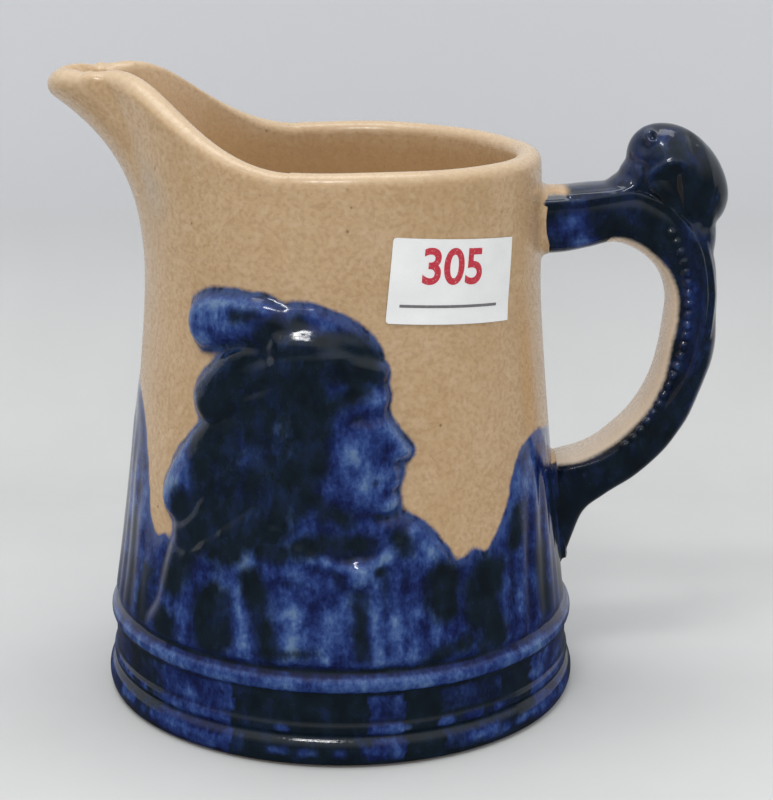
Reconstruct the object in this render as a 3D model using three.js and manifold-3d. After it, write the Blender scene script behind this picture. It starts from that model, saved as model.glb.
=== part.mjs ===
// A half-pint stoneware cream jug: a cast clay body with a pulled spout and a moulded figure on both sides,
// a moulded handle, the two beds of slip that hold the handle to the wall, and a paper lot label.
// Millimetres, +Z up. The origin is the middle of the flat foot, the spout points along -X and the
// handle along +X.
import * as THREE from "three";
import { mergeVertices } from "three/addons/utils/BufferGeometryUtils.js";
import Module from "manifold-3d";

const wasm = await Module();
wasm.setup();

// Driving dimensions of the body
const rimHeight = 88.2;
const neckRadius = 31.2;
const neckDrop = 20.2;
const rimTuck = 0.5;
const taper = 5.5;
const taperCurve = 1.25;
const rimWall = 4.1;
const baseWall = 5.4;
const floorThickness = 6;
const floorFillet = 7;

// Mouldings round the base, stacked from the foot: ring, low bead, flat band, high bead and cove
const footRingHeight = 4.6;
const footRingRise = 1.3;
const grooveWidth = 0.35;
const lowBeadWidth = 1.9;
const lowBeadRise = 0.5;
const flatBandHeight = 5;
const highBeadWidth = 2.4;
const highBeadRise = 0.75;
const coveHeight = 0.75;
const bandStep = 0.4;

// Pulled spout
const spoutOverhang = 14;
const noseRadius = 8.8;
const spoutAngle = THREE.MathUtils.degToRad(74);
const spoutDepth = 28.2;
const flarePower = 3.9;
const liftPower = 1.4;
const lipRise = 12.4;
const lipDroop = 3.2;
const throatStraight = 2.8;
const throatFlare = 20;
// Shares of the way from the nose to the neck where the lip stops drooping, is highest and meets the rim
const droopEndShare = 0.48;
const crestEndShare = 0.23;
const riseEndShare = 1;

// Moulded relief, the same on both sides: a head in profile that wears a band of feathers, a cloak over its
// shoulders, and a stand of reeds between the two figures
const headRelief = 2.2;
const headHalfWidth = 11.2;
const hairRelief = 1.7;
const hairHalfWidth = 7.5;
const neckRelief = 1.3;
const neckTopHalfWidth = 5;
const neckFootHalfWidth = 7;
const headBandRelief = 2.35;
const headBandHalfWidth = 1.5;
const cloakRelief = 0.9;
const featherTipHalfWidth = 3.3;
const featherRootHalfWidth = 1.9;
const reedRelief = 0.75;
const reedRootHalfWidth = 1.9;
const reedTipHalfWidth = 1.1;
const reliefEdge = 2.3;
const plainMargin = 2.6;

// Handle
const upperRootHeight = 9.6;
const upperRootDrop = 11.7;
const lowerRootHeight = 18.2;
const lowerRootRise = 14.2;
const handleReach = 24.8;
const handleThickness = 7.6;
const handleWidth = 11.6;
const tailWidth = 5.2;
const rootSink = 4;
const thumbRestLength = 21;
const thumbRestThickness = 13.4;
const thumbRestWidth = 12.6;
const thumbRestStand = 7.5;
const thumbRestTilt = THREE.MathUtils.degToRad(48);
// Shares of the handle's height and reach that shape its two bends
const bowShare = 0.67;
const shoulderOutShare = 0.64;
const shoulderRiseShare = 0.2;
const bowDropShare = 0.67;
const tailOutShare = 0.74;
const tailRiseShare = 0.22;
// Shares of the handle's length where it has thinned from the upper root and swells to the lower one
const upperSwellShare = 0.22;
const lowerSwellShare = 0.8;
const cornerPower = 0.75;
const thumbRestPlaceShare = 0.47;

// Slip beds, label and the gap between touching pieces
const slipThickness = 1.2;
const slipMargin = 1.1;
const seatGap = 0.3;
const labelWidth = 21.8;
const labelHeight = 12.5;
const labelThickness = 0.2;
const labelCorner = 1.3;
const labelAngle = THREE.MathUtils.degToRad(32);
const labelDrop = 16.2;
const labelTilt = THREE.MathUtils.degToRad(-5);

// Fineness of the facets
const bodySegments = 96;
const sectionPoints = 16;
const handleRings = 30;
const slipRings = 10;
const thumbRestFacets = 20;

const rimCentre = rimHeight - rimWall / 2;
const rimRadius = neckRadius - rimTuck;
const neckHeight = rimHeight - neckDrop;
const spoutStart = rimHeight - spoutDepth;
const lowBeadMiddle = footRingHeight + grooveWidth + lowBeadWidth / 2;
const highBeadMiddle = lowBeadMiddle + lowBeadWidth / 2 + flatBandHeight + highBeadWidth / 2;
const bandTop = highBeadMiddle + highBeadWidth / 2 + coveHeight;
const bandRadius = neckRadius + taper + bandStep;
const upperRootMiddle = rimHeight - upperRootDrop;
const lowerRootMiddle = bandTop + lowerRootRise;

// The plain outer wall: it widens in a gentle curve from the neck down to the base mouldings, and above
// the neck it draws in a little to the rim.
function wallRadius(z) {
  const down = Math.max(0, (neckHeight - z) / (neckHeight - bandTop));
  const up = Math.max(0, (z - neckHeight) / (rimCentre - neckHeight));
  return neckRadius + taper * down ** taperCurve - rimTuck * up * up;
}

function halfRound(z, centre, width, rise) {
  const off = (2 * (z - centre)) / width;
  return Math.abs(off) < 1 ? rise * Math.sqrt(1 - off * off) : 0;
}

// Outer radius with the foot ring and the two beads.
function outerRadius(z) {
  if (z >= bandTop) return wallRadius(z);
  return (
    bandRadius +
    halfRound(z, footRingHeight / 2, footRingHeight, footRingRise) +
    halfRound(z, lowBeadMiddle, lowBeadWidth, lowBeadRise) +
    halfRound(z, highBeadMiddle, highBeadWidth, highBeadRise)
  );
}

function wallThickness(z) {
  return THREE.MathUtils.lerp(baseWall, rimWall, THREE.MathUtils.smoothstep(z, bandTop, neckHeight));
}

// Heights at which a half-round moulding is cut, closer together at its edges.
function roundRows(centre, width, count) {
  const step = Math.PI / (count - 1);
  return Array.from({ length: count }, (_, i) => centre - (width / 2) * Math.cos(step * i));
}

function evenRows(from, to, count) {
  return Array.from({ length: count }, (_, i) => from + ((to - from) * i) / (count - 1));
}

// The closed profile, from the middle of the foot, up the outside, over the rim and down to the floor.
function bodyProfile() {
  const outside = [
    ...roundRows(footRingHeight / 2, footRingHeight, 5),
    ...roundRows(lowBeadMiddle, lowBeadWidth, 3),
    ...roundRows(highBeadMiddle, highBeadWidth, 5),
    ...evenRows(bandTop, neckHeight, 27),
    ...evenRows(neckHeight, rimCentre, 9).slice(1),
  ];
  const profile = [new THREE.Vector2(0, 0), ...outside.map((z) => new THREE.Vector2(outerRadius(z), z))];
  const rimRound = rimWall / 2;
  for (const turn of [36, 72, 108, 144]) {
    const a = THREE.MathUtils.degToRad(turn);
    const r = rimRadius - rimRound + rimRound * Math.cos(a);
    profile.push(new THREE.Vector2(r, rimCentre + rimRound * Math.sin(a)));
  }
  const insideFoot = floorThickness + floorFillet;
  const inside = [...evenRows(rimCentre, spoutStart, 6), ...evenRows(spoutStart, insideFoot, 4).slice(1)];
  for (const z of inside) profile.push(new THREE.Vector2(wallRadius(z) - wallThickness(z), z));
  const filletCentre = wallRadius(insideFoot) - wallThickness(insideFoot) - floorFillet;
  for (const turn of [30, 60, 90]) {
    const a = THREE.MathUtils.degToRad(turn);
    const r = filletCentre + floorFillet * Math.cos(a);
    profile.push(new THREE.Vector2(r, insideFoot - floorFillet * Math.sin(a)));
  }
  profile.push(new THREE.Vector2(0, floorThickness));
  return profile;
}

// Half of the spout's outer edge seen from above, from the tip of the nose to where it meets the neck.
function lipPath() {
  const noseCentre = neckRadius + spoutOverhang - noseRadius;
  const joinX = -rimRadius * Math.cos(spoutAngle);
  const joinY = rimRadius * Math.sin(spoutAngle);
  const path = new THREE.Path();
  path.absarc(-noseCentre, 0, noseRadius, Math.PI, Math.PI / 2, true);
  path.bezierCurveTo(
    -noseCentre + throatStraight,
    noseRadius,
    joinX - throatFlare * Math.sin(spoutAngle),
    joinY - throatFlare * Math.cos(spoutAngle),
    joinX,
    joinY,
  );
  return path;
}
const lip = lipPath();

// How far the spout moves the rim at an angle from the spout's middle plane: outward, sideways and up.
function rimPull(fromSpout) {
  const share = Math.min(1, Math.abs(fromSpout) / spoutAngle);
  const side = Math.sign(fromSpout) || 1;
  const point = lip.getPointAt(share);
  const rise = lipRise * THREE.MathUtils.smoothstep(riseEndShare - share, 0, riseEndShare - crestEndShare);
  const droop = lipDroop * Math.max(0, 1 - share / droopEndShare) ** 2;
  return new THREE.Vector3(
    point.x + rimRadius * Math.cos(fromSpout),
    side * (point.y - rimRadius * Math.sin(Math.abs(fromSpout))),
    rise - droop,
  );
}

// A point of the plain outer wall after the spout is pulled.
function pulledWall(fromSpout, z) {
  const radius = wallRadius(z);
  const plain = new THREE.Vector3(-radius * Math.cos(fromSpout), radius * Math.sin(fromSpout), z);
  if (z <= spoutStart || Math.abs(fromSpout) >= spoutAngle) return plain;
  const up = (z - spoutStart) / (rimCentre - spoutStart);
  const pull = rimPull(fromSpout);
  const flare = up ** flarePower;
  return plain.add(new THREE.Vector3(pull.x * flare, pull.y * flare, pull.z * up ** liftPower));
}

// Moves a point of the turned shape to where the pulled spout carries it, keeping the wall's thickness.
function pullSpout(point) {
  const fromSpout = Math.atan2(point.y, -point.x);
  if (point.z <= spoutStart || Math.abs(fromSpout) >= spoutAngle) return point;
  const z = Math.min(point.z, rimCentre);
  const depth = wallRadius(z) - Math.hypot(point.x, point.y);
  const above = Math.max(0, point.z - rimCentre);
  const step = 0.01;
  const at = pulledWall(fromSpout, z);
  const along = at.clone().sub(pulledWall(fromSpout, z - step)).normalize();
  const across = pulledWall(fromSpout + step, z).sub(pulledWall(fromSpout - step, z));
  const outward = across.cross(along).normalize();
  if (outward.dot(new THREE.Vector3(-Math.cos(fromSpout), Math.sin(fromSpout), 0)) < 0) outward.negate();
  return at.addScaledVector(outward, -depth).addScaledVector(along, above);
}

// The wall laid out flat for the relief, at its radius half way up. A place on it is an angle in degrees
// from the middle of the front, positive towards the handle, and a height above the base mouldings.
const reliefRadius = wallRadius((bandTop + neckHeight) / 2);

function laidOut(places) {
  return places.map(([angle, up]) => {
    const along = THREE.MathUtils.degToRad(angle) * reliefRadius;
    return new THREE.Vector2(along, bandTop + up);
  });
}

// One rounded lobe of the relief, which runs along a line of places and changes its width on the way.
function lobe(rise, startHalfWidth, endHalfWidth, places) {
  return { rise, startHalfWidth, endHalfWidth, line: laidOut(places) };
}

function feather(rise, places) {
  return lobe(rise, featherRootHalfWidth, featherTipHalfWidth, places);
}

function reed(angle, lean, up) {
  const places = [
    [angle, 0],
    [angle + lean, up],
  ];
  return lobe(reedRelief, reedRootHalfWidth, reedTipHalfWidth, places);
}

const head = [
  [-6.6, 35.6],
  [-6.6, 40],
];
const neck = [
  [-7.5, 29],
  [-6, 20],
];
const hair = [
  [-12.5, 40.5],
  [-20.5, 28],
  [-22, 19],
];
const headBand = [
  [13.6, 44.1],
  [-5.2, 46.3],
  [-23.3, 43.8],
];
const nape = [
  [-6, 32],
  [-20, 28],
  [-33, 23],
  [-42, 18.5],
];
const shoulder = [
  [-8, 39],
  [-23, 37],
  [-36, 31.5],
  [-46.3, 22.4],
];
const side = [
  [-6, 45],
  [-18, 45.5],
  [-28, 43],
  [-36.8, 35.5],
];
const crown = [
  [8, 46.6],
  [-1, 49.4],
  [-14, 51],
  [-28, 51],
  [-40.5, 48.8],
];
const reeds = [
  reed(-91, 0, 34),
  reed(-84, -0.5, 34),
  reed(-77, -1, 32),
  reed(-70, -1.5, 28),
  reed(-63, -2, 21),
  reed(-57, -1.5, 13),
  reed(34, 2, 12.5),
  reed(40, 3.5, 15),
  reed(46, 4, 21),
  reed(53, 4, 26),
  reed(60, 3.5, 28),
  reed(67, 2, 28.5),
];
const lobes = [
  lobe(headRelief, headHalfWidth, headHalfWidth, head),
  lobe(neckRelief, neckTopHalfWidth, neckFootHalfWidth, neck),
  lobe(hairRelief, hairHalfWidth, hairHalfWidth, hair),
  lobe(headBandRelief, headBandHalfWidth, headBandHalfWidth, headBand),
  feather(1.5, nape),
  feather(1.75, shoulder),
  feather(2, side),
  feather(2.35, crown),
  ...reeds,
];

// The cloak's outline, from its hem on the spout's side over both shoulders.
const cloak = laidOut([
  [-51, -3],
  [-48, 15],
  [-44, 18.5],
  [-34, 21],
  [-20, 22],
  [-6, 20.5],
  [6, 19.8],
  [16, 20.6],
  [22.5, 19.6],
  [25.8, 16],
  [29.5, -3],
]);

// Height of a shape with a rounded edge, as a share of its full height, at a depth inside its outline.
function cushion(depth) {
  const short = 1 - THREE.MathUtils.clamp(depth / reliefEdge, 0, 1);
  return Math.sqrt(1 - short * short);
}

// How far a point lies from a line of places, and how far along the line, as a share of its length.
function alongLine(line, point) {
  let run = 0;
  let nearest = { distance: Infinity, along: 0 };
  for (let i = 0; i + 1 < line.length; i++) {
    const piece = new THREE.Line3(
      new THREE.Vector3(line[i].x, line[i].y, 0),
      new THREE.Vector3(line[i + 1].x, line[i + 1].y, 0),
    );
    const flat = new THREE.Vector3(point.x, point.y, 0);
    const share = piece.closestPointToPointParameter(flat, true);
    const distance = piece.at(share, new THREE.Vector3()).distanceTo(flat);
    if (distance < nearest.distance) nearest = { distance, along: run + share * piece.distance() };
    run += piece.distance();
  }
  return { distance: nearest.distance, share: nearest.along / run };
}

function lobeHeight(lobe, point) {
  const { distance, share } = alongLine(lobe.line, point);
  return lobe.rise * cushion(THREE.MathUtils.lerp(lobe.startHalfWidth, lobe.endHalfWidth, share) - distance);
}

function cloakHeight(point) {
  let within = false;
  for (let i = 0; i < cloak.length; i++) {
    const a = cloak[i];
    const b = cloak[(i + 1) % cloak.length];
    const crossing = a.x + ((b.x - a.x) * (point.y - a.y)) / (b.y - a.y);
    if (a.y > point.y !== b.y > point.y && point.x < crossing) within = !within;
  }
  return within ? cloakRelief * cushion(alongLine(cloak, point).distance) : 0;
}

// Height of the whole relief. The back repeats the front, the wall under the handle stays plain, and nothing
// stands out beyond the foot ring, so that the mould draws off.
function relief(fromFront, z) {
  const quarter = 90;
  const beside = THREE.MathUtils.degToRad(Math.abs(fromFront - quarter)) * wallRadius(z);
  if (beside < handleWidth / 2 + slipMargin + plainMargin) return 0;
  const onBack = Math.abs(fromFront) > quarter;
  const mirrored = onBack ? Math.sign(fromFront) * 2 * quarter - fromFront : fromFront;
  const point = new THREE.Vector2(THREE.MathUtils.degToRad(mirrored) * reliefRadius, z);
  const height = Math.max(cloakHeight(point), ...lobes.map((lobe) => lobeHeight(lobe, point)));
  return Math.min(height, bandRadius + footRingRise - wallRadius(z));
}

const weldDistance = 1e-4;
function weld(geometry) {
  geometry.deleteAttribute("normal");
  geometry.deleteAttribute("uv");
  return mergeVertices(geometry, weldDistance);
}

// The body is turned from its profile, then given its relief and its spout.
function bodyGeometry() {
  const geometry = new THREE.LatheGeometry(bodyProfile(), bodySegments);
  geometry.rotateX(Math.PI / 2);
  const welded = weld(geometry);
  const position = welded.getAttribute("position");
  const point = new THREE.Vector3();
  for (let i = 0; i < position.count; i++) {
    point.fromBufferAttribute(position, i);
    const radius = Math.hypot(point.x, point.y);
    const onWall = Math.abs(radius - wallRadius(point.z)) < rimWall / 2;
    if (onWall && point.z > bandTop && point.z < rimCentre) {
      const fromFront = THREE.MathUtils.radToDeg(Math.atan2(point.x, -point.y));
      const share = (radius + relief(fromFront, point.z)) / radius;
      point.x *= share;
      point.y *= share;
    }
    const moved = pullSpout(point);
    position.setXYZ(i, moved.x, moved.y, moved.z);
  }
  return welded;
}

// A closed skin over rings that all have the same number of points.
function loftGeometry(rings) {
  const count = rings[0].length;
  const points = rings.flat();
  const index = [];
  for (let i = 0; i + 1 < rings.length; i++) {
    for (let j = 0; j < count; j++) {
      const a = i * count + j;
      const b = i * count + ((j + 1) % count);
      index.push(a, b, b + count, a, b + count, a + count);
    }
  }
  const last = (rings.length - 1) * count;
  for (let j = 1; j + 1 < count; j++) index.push(0, j + 1, j, last, last + j, last + j + 1);
  const geometry = new THREE.BufferGeometry().setFromPoints(points);
  geometry.setIndex(index);
  return geometry;
}

function solidFrom(geometry) {
  const welded = weld(geometry);
  const mesh = new wasm.Mesh({
    numProp: 3,
    vertProperties: welded.getAttribute("position").array,
    triVerts: new Uint32Array(welded.getIndex().array),
  });
  return new wasm.Manifold(mesh);
}

function geometryFrom(solid) {
  const mesh = solid.getMesh();
  const position = new Float32Array(mesh.numVert * 3);
  for (let i = 0; i < mesh.numVert; i++) {
    position.set(mesh.vertProperties.subarray(i * mesh.numProp, i * mesh.numProp + 3), i * 3);
  }
  const geometry = new THREE.BufferGeometry();
  geometry.setAttribute("position", new THREE.BufferAttribute(position, 3));
  geometry.setIndex(new THREE.BufferAttribute(mesh.triVerts, 1));
  return geometry;
}

// The plain wall as a solid of revolution, grown outward, for cutting what is seated on it.
function wallSolid(growth) {
  const rows = evenRows(bandTop - rootSink, rimHeight + rootSink, 30);
  const profile = [
    new THREE.Vector2(0, rows[0]),
    ...rows.map((z) => new THREE.Vector2(wallRadius(z) + growth, z)),
    new THREE.Vector2(0, rows.at(-1)),
  ];
  const geometry = new THREE.LatheGeometry(profile, bodySegments);
  geometry.rotateX(Math.PI / 2);
  return solidFrom(geometry);
}

// The handle's middle line: out from the upper root, over the shoulder, round the bow and in to the
// lower root. Both ends lie on the wall.
const handleHeight = upperRootMiddle - lowerRootMiddle;
const bow = new THREE.Vector3(neckRadius + handleReach, 0, lowerRootMiddle + bowShare * handleHeight);
const upperRoot = new THREE.Vector3(wallRadius(upperRootMiddle), 0, upperRootMiddle);
const lowerRoot = new THREE.Vector3(wallRadius(lowerRootMiddle), 0, lowerRootMiddle);
const shoulderTop = upperRoot.z + shoulderRiseShare * (upperRoot.z - bow.z);
const shoulderBend = new THREE.CubicBezierCurve3(
  upperRoot,
  new THREE.Vector3(neckRadius + shoulderOutShare * handleReach, 0, shoulderTop),
  new THREE.Vector3(bow.x, 0, upperRoot.z),
  bow,
);
const lowerRise = bow.z - lowerRoot.z;
const tailX = neckRadius + tailOutShare * handleReach;
const lowerBend = new THREE.CubicBezierCurve3(
  bow,
  new THREE.Vector3(bow.x, 0, lowerRoot.z + bowDropShare * lowerRise),
  new THREE.Vector3(tailX, 0, lowerRoot.z + tailRiseShare * lowerRise),
  lowerRoot,
);
const middleLine = new THREE.CurvePath();
middleLine.add(shoulderBend);
middleLine.add(lowerBend);

// One rounded section of the handle across its middle line, grown outward by a margin. It thickens
// towards both roots, and the back of the lower root narrows to a tail.
function handleSection(share, margin) {
  const tangent = middleLine.getTangent(share);
  const outward = new THREE.Vector3(-tangent.z, 0, tangent.x);
  const nearTop = Math.max(0, 1 - share / upperSwellShare);
  const nearTail = Math.max(0, (share - lowerSwellShare) / (1 - lowerSwellShare));
  const thickness =
    handleThickness +
    (upperRootHeight - handleThickness) * nearTop +
    (lowerRootHeight - handleThickness) * nearTail ** 3;
  return Array.from({ length: sectionPoints }, (_, i) => {
    const a = (-2 * Math.PI * i) / sectionPoints;
    const out = Math.sign(Math.cos(a)) * Math.abs(Math.cos(a)) ** cornerPower;
    const side = Math.sign(Math.sin(a)) * Math.abs(Math.sin(a)) ** cornerPower;
    const width = THREE.MathUtils.lerp(handleWidth, tailWidth, (nearTail * (1 + out)) / 2);
    return middleLine
      .getPoint(share)
      .addScaledVector(outward, out * (thickness / 2 + margin))
      .add(new THREE.Vector3(0, side * (width / 2 + margin), 0));
  });
}

// The handle's bar between two places on its middle line. Its ends run on into the wall, to be cut there.
function bar(from, to, count, margin) {
  const rings = evenRows(from, to, count).map((share) => handleSection(share, margin));
  const sunk = (ring, share, depth) => {
    const inward = middleLine.getTangent(share).multiplyScalar(depth);
    return ring.map((point) => point.clone().add(inward));
  };
  if (from === 0) rings.unshift(sunk(rings[0], 0, -rootSink));
  if (to === 1) rings.push(sunk(rings.at(-1), 1, rootSink));
  return solidFrom(loftGeometry(rings));
}

// The thumb rest, a leaning egg on the outside of the shoulder.
function thumbRest() {
  const tangent = shoulderBend.getTangent(thumbRestPlaceShare);
  const centre = shoulderBend
    .getPoint(thumbRestPlaceShare)
    .add(new THREE.Vector3(-tangent.z, 0, tangent.x).multiplyScalar(thumbRestStand));
  const geometry = new THREE.SphereGeometry(0.5, thumbRestFacets, thumbRestFacets / 2);
  geometry.scale(thumbRestLength, thumbRestWidth, thumbRestThickness);
  geometry.rotateY(thumbRestTilt);
  geometry.translate(centre.x, centre.y, centre.z);
  return solidFrom(geometry);
}

function handleGeometry() {
  const whole = bar(0, 1, handleRings, 0).add(thumbRest());
  return geometryFrom(whole.subtract(wallSolid(slipThickness + 2 * seatGap)));
}

// A bed of slip between one end of the handle and the wall.
function slipGeometry(from, to) {
  const bed = bar(from, to, slipRings, slipMargin);
  return geometryFrom(bed.intersect(wallSolid(slipThickness + seatGap)).subtract(wallSolid(seatGap)));
}

// The label is a strip of upright columns bent round the neck, rounded at its left corners.
function labelGeometry() {
  const left = roundRows(labelCorner, 2 * labelCorner, 9).slice(0, 5);
  const columns = [...left, ...evenRows(labelCorner, labelWidth, 12).slice(1)];
  return loftGeometry(
    columns.map((across) => {
      const inCorner = Math.max(0, labelCorner - across);
      const inset = labelCorner - Math.sqrt(labelCorner ** 2 - inCorner ** 2);
      const half = labelHeight / 2 - inset;
      const corners = [
        [-half, 0],
        [half, 0],
        [half, labelThickness],
        [-half, labelThickness],
      ];
      return corners.map(([upright, proud]) => {
        const u = across - labelWidth / 2;
        const along = u * Math.cos(labelTilt) - upright * Math.sin(labelTilt);
        const z = rimHeight - labelDrop + u * Math.sin(labelTilt) + upright * Math.cos(labelTilt);
        const radius = wallRadius(z) + seatGap + proud;
        const angle = labelAngle + along / neckRadius;
        return new THREE.Vector3(radius * Math.sin(angle), -radius * Math.cos(angle), z);
      });
    }),
  );
}

const buffGlaze = new THREE.MeshStandardMaterial({ color: 0xc8ab82, roughness: 0.25 });
const cobaltGlaze = new THREE.MeshStandardMaterial({ color: 0x141d3d, roughness: 0.15 });
const paper = new THREE.MeshStandardMaterial({ color: 0xeeeeec, roughness: 0.8 });

function piece(name, geometry, material) {
  const mesh = new THREE.Mesh(geometry, material);
  mesh.name = name;
  return mesh;
}

const jug = new THREE.Group();
jug.add(
  piece("body", bodyGeometry(), buffGlaze),
  piece("handle", handleGeometry(), cobaltGlaze),
  piece("upper_slip_bed", slipGeometry(0, upperSwellShare), buffGlaze),
  piece("lower_slip_bed", slipGeometry(lowerSwellShare, 1), cobaltGlaze),
  piece("lot_label", labelGeometry(), paper),
);

export default jug;
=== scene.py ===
from math import cos, hypot, pi, radians, sin

import bmesh
import bpy
import numpy as np
from mathutils import Matrix, Vector


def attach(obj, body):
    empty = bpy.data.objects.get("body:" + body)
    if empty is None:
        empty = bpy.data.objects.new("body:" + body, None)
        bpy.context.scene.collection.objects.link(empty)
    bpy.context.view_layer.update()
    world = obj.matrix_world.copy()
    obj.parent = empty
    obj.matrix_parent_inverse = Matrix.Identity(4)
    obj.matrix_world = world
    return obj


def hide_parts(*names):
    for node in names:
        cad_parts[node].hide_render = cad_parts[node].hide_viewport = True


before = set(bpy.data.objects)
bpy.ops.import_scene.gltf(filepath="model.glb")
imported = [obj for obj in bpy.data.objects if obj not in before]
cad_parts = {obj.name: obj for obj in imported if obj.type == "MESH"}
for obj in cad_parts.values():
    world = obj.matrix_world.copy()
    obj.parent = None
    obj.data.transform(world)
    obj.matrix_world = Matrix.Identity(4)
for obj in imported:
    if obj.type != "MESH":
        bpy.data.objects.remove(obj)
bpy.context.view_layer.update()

# Body: one slip-cast shell of buff stoneware with mouldings round its foot, a figure in relief on both
# sides and a spout pulled out of the wet rim. Cobalt is painted over the relief and the foot, then the
# whole is dipped in a clear glaze. Sizes are in millimetres, and each finished mesh is brought to metres.
rim_height = 88.2
neck_radius = 31.2
neck_height = 68.0
rim_tuck = 0.5
taper = 5.5
taper_curve = 1.25
rim_wall = 4.1
base_wall = 5.4
floor_thickness = 6.0
floor_fillet = 7.0
rim_round = rim_wall / 2
rim_centre = rim_height - rim_round
rim_radius = neck_radius - rim_tuck

band_radius = 37.1
band_top = 15.0
foot_roll = (2.3, 4.6, 1.3)
foot_bead = (5.9, 1.9, 0.5)
band_bead = (13.05, 2.4, 0.75)
foot_recess = 0.8
recess_edge = 26.0
foot_ring_inside = 30.2
foot_ring_outside = 35.6

spout_start = 60.0
spout_angle = radians(74)
spout_overhang = 14.0
nose_radius = 8.8
throat_straight = 2.8
throat_flare = 20.0
lip_rise = 12.3
lip_droop = 3.2
droop_end = 0.48
throat_lift = 0.6
throat_at = 0.266
throat_reach = 0.028
crest_end = 0.23
flare_power = 3.9
lift_power = 1.4

body_segments = 420
front_crowding = 0.2


def smooth_step(value, low=0.0, high=1.0):
    share = np.clip((value - low) / (high - low), 0, 1)
    return share * share * (3 - 2 * share)


def wall_radius(z):
    down = np.maximum(0, (neck_height - z) / (neck_height - band_top))
    up = np.maximum(0, (z - neck_height) / (rim_centre - neck_height))
    return neck_radius + taper * down**taper_curve - rim_tuck * up * up


def wall_thickness(z):
    return base_wall + (rim_wall - base_wall) * smooth_step(z, band_top, neck_height)


def moulding_rise(z):
    # Each moulding has the height of its middle, its width and how far it stands out.
    rise = np.zeros_like(z)
    for centre, width, proud in (foot_roll, foot_bead, band_bead):
        off = 2 * (z - centre) / width
        rise += proud * np.sqrt(np.maximum(0, 1 - off * off))
    return rise


def outer_radius(z):
    # The glaze fills the sharp grooves beside the beads, so the profile is averaged over a short height.
    soft = [np.where(z + step < band_top, band_radius + moulding_rise(z + step), wall_radius(z + step))
            for step in (-0.24, -0.12, 0, 0.12, 0.24)]
    return np.mean(soft, axis=0)


def body_profile():
    under = [(0, foot_recess), (recess_edge, foot_recess), (28.4, 0.5), (29.4, 0.12),
             (foot_ring_inside, 0), (foot_ring_outside, 0), (36.7, 0.16)]
    heights = np.concatenate((
        np.linspace(0.5, band_top, 46),
        np.linspace(band_top, neck_height + 4, 126)[1:],
        np.linspace(neck_height + 4, rim_centre, 17)[1:],
    ))
    outside = list(zip(outer_radius(heights), heights))
    rim = [(rim_radius - rim_round + rim_round * cos(turn), rim_centre + rim_round * sin(turn))
           for turn in np.linspace(0, pi, 12)[1:-1]]
    fillet_top = floor_thickness + floor_fillet
    down = np.concatenate((np.linspace(rim_centre, spout_start, 12),
                           np.linspace(spout_start, fillet_top, 7)[1:]))
    inside = list(zip(wall_radius(down) - wall_thickness(down), down))
    fillet_centre = inside[-1][0] - floor_fillet
    fillet = [(fillet_centre + floor_fillet * cos(turn), fillet_top - floor_fillet * sin(turn))
              for turn in np.linspace(0, pi / 2, 7)[1:]]
    return under + outside + rim + inside + fillet + [(0, floor_thickness)]


def lip_path():
    # Half of the spout's edge seen from above, from the tip of the nose back to the neck.
    nose_centre = neck_radius + spout_overhang - nose_radius
    join = np.array((-rim_radius * cos(spout_angle), rim_radius * sin(spout_angle)))
    turn = np.linspace(pi, pi / 2, 60)
    nose = np.column_stack((nose_radius * np.cos(turn) - nose_centre, nose_radius * np.sin(turn)))
    t = np.linspace(0, 1, 240)[1:, None]
    leaves_nose = nose[-1] + (throat_straight, 0)
    meets_neck = join - throat_flare * np.array((sin(spout_angle), cos(spout_angle)))
    throat = ((1 - t)**3 * nose[-1] + 3 * (1 - t)**2 * t * leaves_nose
              + 3 * (1 - t) * t**2 * meets_neck + t**3 * join)
    path = np.vstack((nose, throat))
    run = np.concatenate(([0], np.cumsum(np.hypot(*np.diff(path, axis=0).T))))
    return run / run[-1], path


lip_share, lip_points = lip_path()


def pulled_wall(from_spout, z):
    share = np.minimum(1, np.abs(from_spout) / spout_angle)
    side = np.where(from_spout < 0, -1, 1)
    out = np.interp(share, lip_share, lip_points[:, 0]) + rim_radius * np.cos(from_spout)
    across = np.interp(share, lip_share, lip_points[:, 1]) - rim_radius * np.sin(np.abs(from_spout))
    rise = lip_rise * smooth_step(1 - share, 0, 1 - crest_end)
    droop = lip_droop * np.maximum(0, 1 - share / droop_end)**2
    droop -= throat_lift * ridge_on(share - throat_at, throat_reach)
    up = np.clip((z - spout_start) / (rim_centre - spout_start), 0, 1)
    flare = up**flare_power * (share < 1)
    lift = up**lift_power * (share < 1)
    radius = wall_radius(z)
    return np.column_stack((
        -radius * np.cos(from_spout) + out * flare,
        radius * np.sin(from_spout) + side * across * flare,
        z + (rise - droop) * lift,
    ))


def pull_spout(points):
    # The pulled clay keeps its thickness: a point keeps its depth below the outer wall.
    from_spout = np.arctan2(points[:, 1], -points[:, 0])
    z = np.minimum(points[:, 2], rim_centre)
    depth = wall_radius(z) - np.hypot(points[:, 0], points[:, 1])
    above = np.maximum(0, points[:, 2] - rim_centre)
    step = 0.01
    at = pulled_wall(from_spout, z)
    along = at - pulled_wall(from_spout, z - step)
    along /= np.linalg.norm(along, axis=1)[:, None]
    across = pulled_wall(from_spout + step, z) - pulled_wall(from_spout - step, z)
    outward = np.cross(across, along)
    outward /= np.linalg.norm(outward, axis=1)[:, None]
    radial = np.column_stack((-np.cos(from_spout), np.sin(from_spout), np.zeros(len(points))))
    outward *= np.where(np.sum(outward * radial, axis=1) < 0, -1, 1)[:, None]
    moved = at - depth[:, None] * outward + above[:, None] * along
    pulled = (points[:, 2] > spout_start) & (np.abs(from_spout) < spout_angle)
    return np.where(pulled[:, None], moved, points)


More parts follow.
